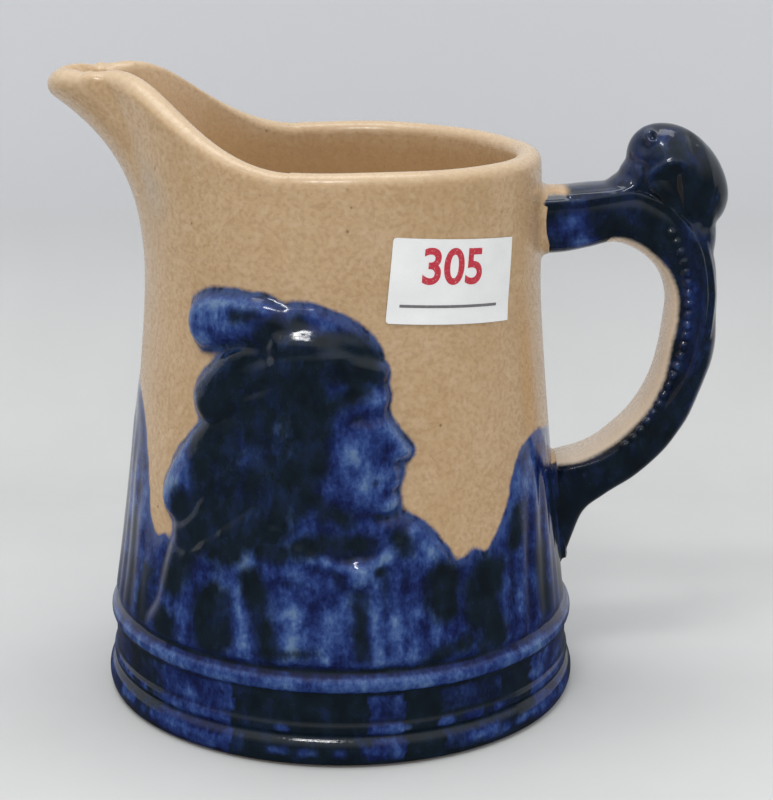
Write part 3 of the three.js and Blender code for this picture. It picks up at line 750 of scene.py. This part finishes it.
buff.links.new(plus(buff, peel, grain(buff, 5, 1, 0.5), 0.6), buff_out["Height"])
buff.links.new(band_of(buff, mottle, 0.3, 0.7, 0.2, 0.32), buff_out["Gloss"])

# Cobalt under the clear glaze: pale where it broke over an edge or was wiped thin, green-black where it
# pooled. Its pool and thin inputs also bring in painted shade, a painted highlight and painted reflections.
cobalt_glaze, cobalt_in, cobalt_out = glaze_group("cobalt glaze", "Crest", "Pool_and_painted_light", "Thin_and_sheen")
streak = grain(cobalt_glaze, 1.3, 3, 0.6, stretch=2.4)
cloud = grain(cobalt_glaze, 4.5, 4, 0.6, shift=4.4)
flecks = grain(cobalt_glaze, 0.55, 2, 0.6, stretch=1.4, shift=9.1)
tone = plus(cobalt_glaze, 0.42, cobalt_in["Crest"], 0.22)
tone = plus(cobalt_glaze, tone, cobalt_in["Thin_and_sheen"], 0.24)
for lumps, share in ((streak, 0.6), (cloud, 1.3), (flecks, 0.4)):
    tone = plus(cobalt_glaze, tone, maths(cobalt_glaze, "SUBTRACT", lumps, 0.5), share)
blue = colours(cobalt_glaze, tone, (
    (0.1, (11, 17, 50)), (0.3, (18, 29, 74)), (0.48, (31, 49, 102)), (0.64, (48, 71, 125)),
    (0.8, (70, 95, 143)), (0.95, (94, 117, 150)),
))
ragged = unevenness(cobalt_glaze, 2.6, 3, 0.65, stretch=1.6, shift=6.3)
drift = unevenness(cobalt_glaze, 14, 2, 0.5, shift=2.9)
depth_of = plus(cobalt_glaze, cobalt_in["Pool_and_painted_light"], ragged, 2.4)
depth_of = plus(cobalt_glaze, depth_of, drift, 1.6)
pool_and_shade_mask = band_of(cobalt_glaze, depth_of, -0.65, 1.1)
pool_and_shade_colour = colours(cobalt_glaze, grain(cobalt_glaze, 3, 3, 0.6, stretch=1.5, shift=8.2),
                      ((0.35, (11, 20, 27)), (0.55, (16, 28, 38)), (0.72, (22, 35, 60))))
cobalt_glaze.links.new(blend(cobalt_glaze, pool_and_shade_mask, blue, pool_and_shade_colour), cobalt_out["Color"])
cobalt_glaze.links.new(plus(cobalt_glaze, cloud, flecks, 0.1), cobalt_out["Height"])
cobalt_glaze.links.new(band_of(cobalt_glaze, flecks, 0.35, 0.65, 0.08, 0.18), cobalt_out["Gloss"])


def new_material(name):
    material = bpy.data.materials.new(name)
    material.use_nodes = True
    return material, material.node_tree, material.node_tree.nodes["Principled BSDF"].inputs


def glaze_material(name, layers, tints=(), wandering=1.0, pale_edge=0.7):
    # The two glazes side by side, parted by the mesh's "cobalt" attribute, the reach of the cobalt in
    # millimetres. Each layer of cobalt is an attribute's name or a number.
    material, tree, shader = new_material(name)
    under = node(tree, "ShaderNodeGroup", node_tree=buff)
    over = node(tree, "ShaderNodeGroup", node_tree=cobalt_glaze)
    for socket, value in zip(("Crest", "Pool_and_painted_light", "Thin_and_sheen"), layers):
        feed(tree, over.inputs[socket], attribute(tree, value) if isinstance(value, str) else value)
    wander = unevenness(tree, 3.2, 2, 0.5, shift=2.2)
    fray = unevenness(tree, 0.6, 2, 0.6, shift=4.8)
    reach = plus(tree, attribute(tree, "cobalt"), wander, wandering)
    reach = plus(tree, reach, fray, 0.25)
    mask = band_of(tree, reach, -0.3, 0.45)
    ground = under.outputs["Color"]
    for tint_name, tint, strength in tints:
        tinted = times(tree, attribute(tree, tint_name), strength)
        ground = blend(tree, tinted, ground, srgb(*tint))
    brushed = band_of(tree, grain(tree, 1.2, 3, 0.6, stretch=2.0, shift=1.1), 0.3, 0.6)
    thin_edge = times(tree, band_of(tree, reach, 0.3, 1.9, 1.0, 0.0), brushed)
    thin_edge = times(tree, thin_edge, pale_edge)
    paint = blend(tree, thin_edge, over.outputs["Color"], srgb(58, 80, 130))
    tree.links.new(blend(tree, mask, ground, paint), shader["Base Color"])
    gloss, swell = (
        node(tree, "ShaderNodeMix", {"Factor": mask, "A": under.outputs[part], "B": over.outputs[part]})
        for part in ("Gloss", "Height"))
    tree.links.new(gloss.outputs[0], shader["Roughness"])
    bump = node(tree, "ShaderNodeBump", {"Height": swell.outputs[0], "Strength": 0.5, "Distance": 0.0001})
    tree.links.new(bump.outputs[0], shader["Normal"])
    return material


body_glaze = glaze_material("glazed stoneware", ("crest", "pool_and_painted_light", "thin_and_sheen"),
                            (("ochre", (186, 138, 78), 0.4), ("painted_sheen", (142, 146, 142), 0.45),
                             ("inside", (192, 152, 104), 0.6), ("rim", (214, 194, 164), 0.4)))
add_piece(body_mesh, body_glaze, "body_glaze", "body")

# Handle: one bar pressed in a mould, with a thumb rest on its shoulder like a curled bud and a row of beads
# down each side. It is stuck to the body with slip, dipped in cobalt and wiped clean on its inner face. Its
# side outline is given by places on its inner edge, each with the place opposite on its outer edge.
handle_outline = (
    ((30.0, 71.4), (30.0, 81.8)), ((34.3, 71.6), (34.1, 81.9)), ((38.6, 72.6), (38.8, 82.3)),
    ((42.6, 73.4), (44.6, 82.3)), ((46.2, 72.2), (50.6, 80.6)), ((49.2, 69.8), (55.6, 76.8)),
    ((51.0, 67.0), (58.5, 71.4)), ((51.7, 64.2), (59.2, 66.6)), ((51.6, 61.4), (59.4, 62.2)),
    ((51.2, 58.4), (59.5, 58.0)), ((50.7, 54.8), (59.1, 54.2)), ((49.8, 51.2), (57.6, 49.8)),
    ((48.2, 47.6), (55.7, 45.0)), ((45.6, 44.2), (52.7, 40.1)), ((42.0, 41.0), (47.8, 35.0)),
    ((38.6, 39.1), (43.0, 31.5)), ((35.9, 38.3), (39.4, 28.0)), ((33.9, 37.9), (36.7, 20.0)),
)
handle_width = 11.6
tail_width = 5.2
tail_start = 0.78
corner_power = 0.75
root_sink = 1.6
glaze_coat = 0.12
sunk_share = 0.02
thumb_lobes = (
    (52.3, 83.5, (19.4, 12.4, 13.6), 48), (49.9, 87.0, (9.2, 9.2, 8.8), 35),
    (46.9, 83.6, (8.0, 9.0, 7.6), -45), (44.0, 81.9, (10.0, 9.0, 4.6), -34),
    (42.0, 81.5, (9.0, 8.6, 2.6), -16), (56.0, 73.8, (5.8, 10.0, 15.0), 3),
)
bead_pitch = 1.7
bead_radius = 0.7
bead_proud = 0.5

inner_edge = rounded_line([inner for inner, outer in handle_outline], steps=12)
outer_edge = rounded_line([outer for inner, outer in handle_outline], steps=12)
middle = (inner_edge + outer_edge) / 2
edge_share = np.linspace(0, 1, len(middle))
middle_heading = np.gradient(middle, axis=0)
middle_heading /= np.linalg.norm(middle_heading, axis=1)[:, None]


def along_bar(curve, share):
    return np.column_stack([np.interp(share, edge_share, curve[:, k]) for k in (0, 1)])


def handle_skin(share, turn, margin=0.0, past_end=0.0):
    # A point of the handle's skin: how far along the bar, and the turn round its rounded section.
    inner, outer = along_bar(inner_edge, share), along_bar(outer_edge, share)
    half = np.linalg.norm(outer - inner, axis=1)[:, None] / 2
    across = (outer - inner) / (2 * half)
    near_tail = np.clip((share - tail_start) / (1 - tail_start), 0, 1)
    out = np.sign(np.cos(turn)) * np.abs(np.cos(turn))**corner_power
    side = np.sign(np.sin(turn)) * np.abs(np.sin(turn))**corner_power
    width = handle_width + (tail_width - handle_width) * near_tail * (1 + out) / 2
    at = (inner + outer) / 2 + along_bar(middle_heading, share) * np.reshape(past_end, (-1, 1))
    at = at + across * out[:, None] * (half + margin)
    return np.column_stack((at[:, 0], side * (width / 2 + np.ravel(margin)), at[:, 1]))


def wrapped_grid(bm, along_count, round_count):
    # A flat grid of the given fineness, and for each of its points two shares from 0 to 1.
    made = bmesh.ops.create_grid(bm, x_segments=along_count, y_segments=round_count, size=0.5)["verts"]
    flat = np.array([vert.co for vert in made])
    return made, flat[:, 0] + 0.5, flat[:, 1] + 0.5


def move_verts(verts, places):
    for vert, place in zip(verts, places):
        vert.co = place


def close_ends(bm, made, new_places):
    move_verts(made, new_places)
    bmesh.ops.remove_doubles(bm, verts=bm.verts, dist=1e-4)
    open_edges = [edge for edge in bm.edges if edge.is_boundary]
    bmesh.ops.holes_fill(bm, edges=open_edges, sides=0)


bm = bmesh.new()
grid, along_share, turn_of = wrapped_grid(bm, 150, 44)
past_tail = np.maximum(0, along_share - (1 - sunk_share))
sunk = root_sink * (past_tail - np.maximum(0, sunk_share - along_share)) / sunk_share
close_ends(bm, grid, handle_skin(along_share, 2 * pi * turn_of, glaze_coat, sunk))

# The lobes of the thumb rest: each one's middle, its length, width and thickness, and its lean in degrees.
for lobe_x, lobe_z, size, lean in thumb_lobes:
    lobe = (Matrix.Translation((lobe_x, 0, lobe_z)) @ Matrix.Rotation(radians(lean), 4, "Y")
            @ Matrix.Diagonal((size[0] / 2, size[1] / 2, size[2] / 2, 1)))
    bmesh.ops.create_uvsphere(bm, u_segments=40, v_segments=24, radius=1, matrix=lobe)
handle_mesh = mesh_from(bm, "cobalt_handle")


def mesh_off(holder):
    # The finished mesh of an object, which is then cleared away.
    made = bpy.data.meshes.new_from_object(holder.evaluated_get(bpy.context.evaluated_depsgraph_get()))
    bpy.data.objects.remove(holder)
    return made


def remade_skin(mesh, voxel, rounds):
    # Melts the overlapping shapes of a mesh into one skin and smooths it.
    scratch = set_out("scratch", mesh)
    melt = scratch.modifiers.new("melt", "REMESH")
    melt.mode = "VOXEL"
    melt.voxel_size = voxel
    ease = scratch.modifiers.new("ease", "SMOOTH")
    ease.factor = 0.5
    ease.iterations = rounds
    made = mesh_off(scratch)
    bpy.data.meshes.remove(mesh)
    return made


handle_mesh = remade_skin(handle_mesh, voxel=0.3, rounds=12)
handle_mesh.name = "cobalt_handle"
skin = read_vectors(handle_mesh.vertices, "co")
facing = read_vectors(handle_mesh.vertex_normals, "vector")
x, y, z = skin.T
lateral = smooth_step(np.abs(facing[:, 1]), 0.08, 0.5)
proud = np.zeros(len(skin))


def mark(places, height_of, width):
    # A ridge or a groove that runs through these places on both sides of the handle.
    return height_of * ridge_on(follow(rounded_line(places), x, z)[0], width) * lateral


# A sunk panel between two raised edges follows the bar, with the beads in it.
upper_line = [(29.0, 79.7), (35.9, 80.1), (39.8, 80.7), (44.9, 81.3), (47.6, 80.6), (50.5, 79.1),
              (53.0, 76.7), (54.9, 73.9), (55.9, 71.2), (56.6, 67.2), (56.7, 63.0), (56.2, 58.0),
              (54.8, 52.6), (51.6, 47.0)]
lower_line = [(52.4, 52.6), (50.6, 48.0), (47.9, 43.7), (45.1, 40.7), (42.0, 38.4), (39.4, 37.3),
              (35.5, 36.2)]
_, _, beyond, _ = follow(rounded_line(upper_line), x, z)
from_inner = follow(inner_edge, x, z)[0]
panel = smooth_step(np.minimum(-beyond, from_inner - 1.4), -0.3, 0.6) * smooth_step(z, 46, 52)
proud -= 0.34 * panel * lateral
proud += mark(upper_line, 0.42, 0.42)
proud += mark(lower_line, 0.42, 0.45)
proud += mark([(35.0, 80.9), (41.1, 81.6), (44.5, 82.2), (45.7, 83.6), (45.7, 85.4)], 0.36, 0.4)
proud += mark([(54.0, 79.0), (55.9, 74.9), (57.3, 71.2), (58.2, 64.8), (57.7, 59)], 0.3, 0.45)
bead_line = rounded_line([(50.6, 76.2), (52.4, 72.8), (53.6, 69.0), (54.2, 64.4), (54.0, 58.8), (52.6, 53.2),
                          (50.4, 48.0), (47.9, 43.7), (45.1, 40.7)])
bead_off, bead_along, _, _ = follow(bead_line, x, z)
bead_top = cushion(bead_row(bead_off, bead_along, bead_pitch, bead_radius), 0.55) * lateral
proud += bead_proud * bead_top

# The thumb rest has a drop-shaped hollow on each side, a fold behind it and a small pierced bud at its tip.
hollow = rounded_line([(47.6, 84.0), (48.9, 85.3), (50.7, 86.2), (52.6, 85.6), (53.1, 83.0), (53.1, 79.6),
                       (52.6, 78.0), (51.2, 79.8), (49.2, 81.9)], closed=True)
hollow_depth = depth_inside(hollow, x, z)
proud -= 1.15 * smooth_step(hollow_depth, -0.5, 2.0) * smooth_step(54.6 - x, 0, 4) * lateral
proud += 0.3 * ridge_on(hollow_depth + 0.5, 0.4) * smooth_step(53 - x, 0, 3) * lateral
proud += mark([(53.8, 90.2), (54.5, 86.5), (54.4, 82.5), (54.9, 78.6), (56.2, 76.2)], -0.34, 0.8)
proud += mark([(55.6, 88.6), (56.5, 85), (56.6, 81), (57.4, 77.2)], 0.2, 0.9)
proud += mark([(57.0, 76.6), (58.2, 75.8), (59.4, 75.4)], -0.3, 0.7)
pit = np.hypot(x - 47.6, z - 90.2)
proud += (-0.5 * ridge_on(pit, 0.4) + 0.28 * ridge_on(pit - 0.8, 0.28)) * lateral
proud -= 0.4 * ridge_on(np.hypot(x - 46.3, z - 88.6), 0.9) * lateral
proud += 0.07 * np.sin(x / 1.9 + 1.3 * np.sin(z / 2.3)) * np.cos(z / 2.7 + y / 3)
place_points(handle_mesh, skin + facing * proud[:, None])

inner_bare = 1.0 - from_inner - 3 * smooth_step(41.8 - x, 0, 2.4) * (z > 60)
root_bare = np.maximum(np.minimum(0.5 * (34.6 - x), z - 81.2), 30.9 - x)
inner_bare = np.maximum(inner_bare, np.where(z > 60, root_bare, -9))
paint_attribute(handle_mesh, "cobalt", -inner_bare)
light_patch = np.exp(-((x - 35.5) / 3.4)**2 - ((z - 76.6) / 2.6)**2)
light_patch += 0.7 * np.exp(-((x - 37.5) / 2.2)**2 - ((z - 73.6) / 1.2)**2)
panel_light = panel * ridge_on(z - 63, 9) * smooth_step(x, 52, 53)
crest_here = 0.7 * light_patch + np.clip(proud / 0.5, -0.6, 0.6) + 0.2 * panel_light
# Lighter towards the top of the thumb rest: a painted sheen of the pale room on its upper faces.
pool_and_sheen_here = 0.8 - 1.4 * light_patch - 0.3 * smooth_step(z, 80.6, 85) - 0.55 * panel_light
pool_and_sheen_here += 0.35 * smooth_step(x, 53, 56) * smooth_step(z, 76, 80)
pool_and_sheen_here += 0.9 * smooth_step(hollow_depth, -0.6, 1.6) + 0.5 * smooth_step(46 - z, 0, 6)
paint_attribute(handle_mesh, "crest", np.clip(crest_here, -1, 1))
paint_attribute(handle_mesh, "pool_and_painted_light", np.clip(pool_and_sheen_here, -1, 1))
for polygon in handle_mesh.polygons:
    polygon.use_smooth = True
paint_attribute(handle_mesh, "paled", smooth_step(4 - from_inner, 0, 1.5))
handle_glaze = glaze_material("cobalt handle glaze", ("crest", "pool_and_painted_light", 0.0),
                              (("paled", (226, 211, 192), 0.8),), wandering=0.35, pale_edge=0.0)
add_piece(handle_mesh, handle_glaze, "handle_glaze", "handle")

# Slip beds: the liquid clay that welds each root of the handle to the wall, wiped to a narrow fillet. The
# upper one stayed buff, and the lower one went under the cobalt but for a patch over the root.
slip_reach = 1.0
slip_height = 1.1
slip_segments = 72
upper_cobalt_top = 68.0
lower_cobalt_top = 37.4


def seated(points_on_bar, lift):
    # Slides points straight towards the body until they stand this high off its wall.
    moved = points_on_bar.copy()
    for _ in range(12):
        moved[:, 0] -= np.hypot(moved[:, 0], moved[:, 1]) - wall_radius(moved[:, 2]) - lift
    return moved


def slip_bed(name, share, glaze, slot_name, node_name, cobalt_top):
    bm = bmesh.new()
    grid, step, turn = wrapped_grid(bm, 14, slip_segments)
    curve = np.clip((step - 0.1) / 0.8, 0, 1) * pi / 2
    ripple = 1 + 0.18 * np.sin(4 * pi * turn + 1) + 0.12 * np.sin(10 * pi * turn)
    margin = glaze_coat + (slip_reach * (1 - np.sin(curve)) - 1.2 * smooth_step(step, 0.9, 1)) * ripple
    lift = slip_height * ripple * (1 - np.cos(curve)) - 0.8 * smooth_step(-step, -0.1, 0)
    places = handle_skin(np.full(len(grid), float(share)), 2 * pi * turn, margin[:, None])
    close_ends(bm, grid, seated(places, lift))
    mesh = mesh_from(bm, name)
    paint_attribute(mesh, "cobalt", (cobalt_top - read_vectors(mesh.vertices, "co")[:, 2]) * 2)
    add_piece(mesh, glaze, slot_name, node_name)


slip_glaze = glaze_material("slip under cobalt", (0.1, 0.5, 0.0), wandering=0.6, pale_edge=0.0)
slip_bed("slip_at_upper_root", 0, slip_glaze, "upper_slip", "upper_slip_bed", upper_cobalt_top)
slip_bed("slip_at_lower_root", 1, slip_glaze, "lower_slip", "lower_slip_bed", lower_cobalt_top)

# Lot label: a small self-adhesive paper label pressed round the neck, printed with a plain number and a
# thin rule under it.
label_width = 21.8
label_height = 12.5
label_thickness = 0.13
label_corner = 1.3
label_angle = radians(32)
label_middle = 72.0
label_tilt = radians(-5)
wall_gap = 0.1
print_proud = 0.03
number_size = 7.3
number_place = (-0.9, 2.0, 0)
rule_place = (-0.6, -3.6, 0)
rule_length = 17.0
rule_width = 0.42
print_red = (196, 44, 62)
print_grey = (112, 110, 112)


def on_label(across, upright, proud_of_wall):
    # A place on the label, measured from its middle, bent round the neck.
    along = across * cos(label_tilt) - upright * sin(label_tilt)
    z = label_middle + across * sin(label_tilt) + upright * cos(label_tilt)
    angle = label_angle + along / neck_radius
    radius = wall_radius(z) + proud_of_wall
    return np.column_stack((radius * np.sin(angle), -radius * np.cos(angle), z))


bm = bmesh.new()
bmesh.ops.create_grid(bm, x_segments=44, y_segments=24, size=0.5)
for vert in bm.verts:
    vert.co.x *= label_width
    vert.co.y *= label_height
left_corners = [vert for vert in bm.verts if abs(abs(vert.co.y) - label_height / 2) < 0.01
                and abs(vert.co.x + label_width / 2) < 0.01]
bmesh.ops.bevel(bm, geom=left_corners, offset=label_corner, affect="VERTICES", segments=5, profile=0.5,
                material=-1)
bmesh.ops.solidify(bm, geom=bm.faces[:], thickness=label_thickness)
flat = np.array([v.co for v in bm.verts])
lifted = flat[:, 2] - flat[:, 2].min()
move_verts(bm.verts, on_label(flat[:, 0], flat[:, 1], wall_gap + lifted))
label_mesh = mesh_from(bm, "paper_label", smooth=False)

paper, tree, shader = new_material("label paper")
fibre = grain(tree, 0.35, 3, 0.6)
white = colours(tree, grain(tree, 6, 2, 0.5), ((0.3, (232, 232, 231)), (0.7, (242, 242, 240))))
flecked = blend(tree, band_of(tree, fibre, 0.4, 0.7, 0.0, 0.12), white, srgb(214, 213, 210))
tree.links.new(flecked, shader["Base Color"])
tree.links.new(band_of(tree, fibre, 0.3, 0.7, 0.48, 0.62), shader["Roughness"])
bump = node(tree, "ShaderNodeBump", {"Height": fibre, "Strength": 0.3, "Distance": 0.00003})
tree.links.new(bump.outputs[0], shader["Normal"])
add_piece(label_mesh, paper, "label_paper", "lot_label")


def ink_material(name, colour, worn):
    # Printed ink, a little worn where the paper's fibre shows through.
    ink, tree, shader = new_material(name)
    wear = band_of(tree, grain(tree, 0.28, 3, 0.65, shift=6.6), 0.56, 0.7, 0.0, worn)
    tree.links.new(blend(tree, wear, srgb(*colour), srgb(226, 200, 200)), shader["Base Color"])
    tree.links.new(band_of(tree, grain(tree, 0.4), 0.3, 0.7, 0.4, 0.55), shader["Roughness"])
    return ink


def printed(bm, name, ink):
    # Cuts a flat print into upright strips so that it bends with the label, and lays it on the paper.
    for cut in np.arange(-label_width / 2, label_width / 2, 0.6):
        bmesh.ops.bisect_plane(bm, geom=bm.verts[:] + bm.edges[:] + bm.faces[:], plane_co=(cut, 0, 0),
                               plane_no=(1, 0, 0), dist=1e-5)
    flat = np.array([v.co for v in bm.verts])
    base = flat[:, 2].min()
    above_paper = np.where(flat[:, 2] > base + 1e-4, print_proud, -print_proud)
    move_verts(bm.verts, on_label(flat[:, 0], flat[:, 1], wall_gap + label_thickness + above_paper))
    add_piece(mesh_from(bm, name, smooth=False), ink, "label_paper", "lot_label")


number = bpy.data.curves.new("number", "FONT")
number.body = "305"
number.size = number_size
number.offset = 0.15
number.extrude = print_proud
number.align_x = "CENTER"
number.align_y = "CENTER"
number_mesh = mesh_off(set_out("number", number))
bm = bmesh.new()
bm.from_mesh(number_mesh)
bpy.data.meshes.remove(number_mesh)
bmesh.ops.translate(bm, vec=number_place, verts=bm.verts)
printed(bm, "label_number", ink_material("red ink", print_red, 0.5))

bm = bmesh.new()
rule_size = Matrix.Diagonal((rule_length, rule_width, 2 * print_proud, 1))
bmesh.ops.create_cube(bm, size=1, matrix=Matrix.Translation(rule_place) @ rule_size)
printed(bm, "label_rule", ink_material("grey ink", print_grey, 0.3))

# Studio: the jug stands on a sheet of white paper that sweeps up into a low pale wall behind it, in a pale
# room with a wide panel of light at the back of the ceiling and a small lamp in front. Lengths are in metres.
camera_place = Vector((0, -0.3010, 0.13094))
camera_turn = 0.0234
camera_pitch = -0.2729
camera_roll = 0.0130
focal_length = 86.84
sweep_start = 0.095
sweep_radius = 0.05
paper_reach = 4.0
wall_height = 0.45

bm = bmesh.new()
side_view = [(-paper_reach, 0)]
for step in np.linspace(0, pi / 2, 13):
    side_view.append((sweep_start + sweep_radius * sin(step), sweep_radius * (1 - cos(step))))
side_view.append((sweep_start + sweep_radius, wall_height))
line = [bm.verts.new((-paper_reach, y, z)) for y, z in side_view]
for pair in zip(line, line[1:]):
    bm.edges.new(pair)
swept = bmesh.ops.extrude_edge_only(bm, edges=bm.edges[:])
bmesh.ops.translate(bm, vec=(2 * paper_reach, 0, 0),
                    verts=[part for part in swept["geom"] if isinstance(part, bmesh.types.BMVert)])
paper_mesh = mesh_from(bm, "paper_sweep")
if min(face.normal.z for face in paper_mesh.polygons) < -0.5:
    paper_mesh.flip_normals()
paper_surface, tree, shader = new_material("studio paper")
paper_tone = colours(tree, grain(tree, 60, 4, 0.6), ((0.3, (200, 200, 199)), (0.7, (206, 206, 205))))
mirrored = node(tree, "ShaderNodeLightPath").outputs["Is Glossy Ray"]
place = node(tree, "ShaderNodeSeparateXYZ", {"Vector": node(tree, "ShaderNodeTexCoord").outputs["Object"]})
paper_tone = blend(tree, band_of(tree, place.outputs["Z"], 0.01, 0.08), paper_tone, srgb(210, 211, 214))
in_front = band_of(tree, place.outputs["Y"], 0.0, 0.1, 1.0, 0.0)
dark_for_glaze = times(tree, mirrored, in_front)
tree.links.new(blend(tree, dark_for_glaze, paper_tone, srgb(64, 65, 68)), shader["Base Color"])
shader["Roughness"].default_value = 0.9
shader["Specular IOR Level"].default_value = 0.1

# A camera behind the wall or under the floor looks through the back of the paper.
from_behind = times(tree, node(tree, "ShaderNodeLightPath").outputs["Is Camera Ray"],
                    node(tree, "ShaderNodeNewGeometry").outputs["Backfacing"])
seen_through = node(tree, "ShaderNodeBsdfTransparent")
surface = node(tree, "ShaderNodeMixShader", {"Fac": from_behind})
tree.links.new(tree.nodes["Principled BSDF"].outputs[0], surface.inputs[1])
tree.links.new(seen_through.outputs[0], surface.inputs[2])
tree.links.new(surface.outputs[0], tree.nodes["Material Output"].inputs["Surface"])
paper_mesh.materials.append(paper_surface)
paper_sweep = set_out("paper_sweep", paper_mesh)


def soft_lamp(name, place, aim, size, power):
    lamp = bpy.data.lights.new(name, "AREA")
    lamp.shape = "RECTANGLE"
    lamp.size, lamp.size_y = size
    lamp.energy = power
    holder = set_out(name, lamp)
    holder.location = place
    holder.rotation_euler = (Vector(aim) - Vector(place)).to_track_quat("-Z", "Y").to_euler()


soft_lamp("ceiling_panel", (0.0, 0.2, 0.85), (0, 0, 0.05), (0.7, 0.5), 3.2)
soft_lamp("bench_lamp", (-0.1, -0.33, 0.6), (0, 0, 0.05), (0.18, 0.055), 0.9)

# The room is pale all round, but glossy glaze mirrors a darker wall behind the camera.
room = bpy.data.worlds.new("pale room")
room.use_nodes = True
tree = room.node_tree
heading = node(tree, "ShaderNodeTexCoord").outputs["Generated"]
directions = node(tree, "ShaderNodeSeparateXYZ", {"Vector": heading}).outputs
height_in_room = band_of(tree, directions["Z"], 0.0, 0.8)
lit_room = colours(tree, height_in_room, ((0.0, (218, 219, 221)), (1.0, (236, 238, 240))))
far_room = colours(tree, height_in_room, ((0.0, (58, 60, 64)), (1.0, (190, 193, 198))))
mirrored = node(tree, "ShaderNodeLightPath").outputs["Is Glossy Ray"]
behind_camera = times(tree, mirrored, band_of(tree, directions["Y"], 0.2, 0.7, 1.0, 0.0))
tree.links.new(blend(tree, behind_camera, lit_room, far_room), tree.nodes["Background"].inputs["Color"])
tree.nodes["Background"].inputs["Strength"].default_value = 1.2
bpy.context.scene.world = room

lens = bpy.data.cameras.new("camera")
lens.sensor_width = 36
lens.lens = focal_length
lens.clip_start = 0.01
lens.clip_end = 10
camera = set_out("camera", lens)
level = cos(camera_pitch)
forward = Vector((sin(camera_turn) * level, cos(camera_turn) * level, sin(camera_pitch)))
right = Vector((cos(camera_turn), -sin(camera_turn), 0))
upward = right.cross(forward)
rolled_right = cos(camera_roll) * right + sin(camera_roll) * upward
rolled_up = cos(camera_roll) * upward - sin(camera_roll) * right
turned_frame = Matrix((rolled_right, rolled_up, -forward)).transposed().to_4x4()
camera.matrix_world = Matrix.Translation(camera_place) @ turned_frame
bpy.context.scene.camera = camera
bpy.context.scene.view_settings.view_transform = "Standard"
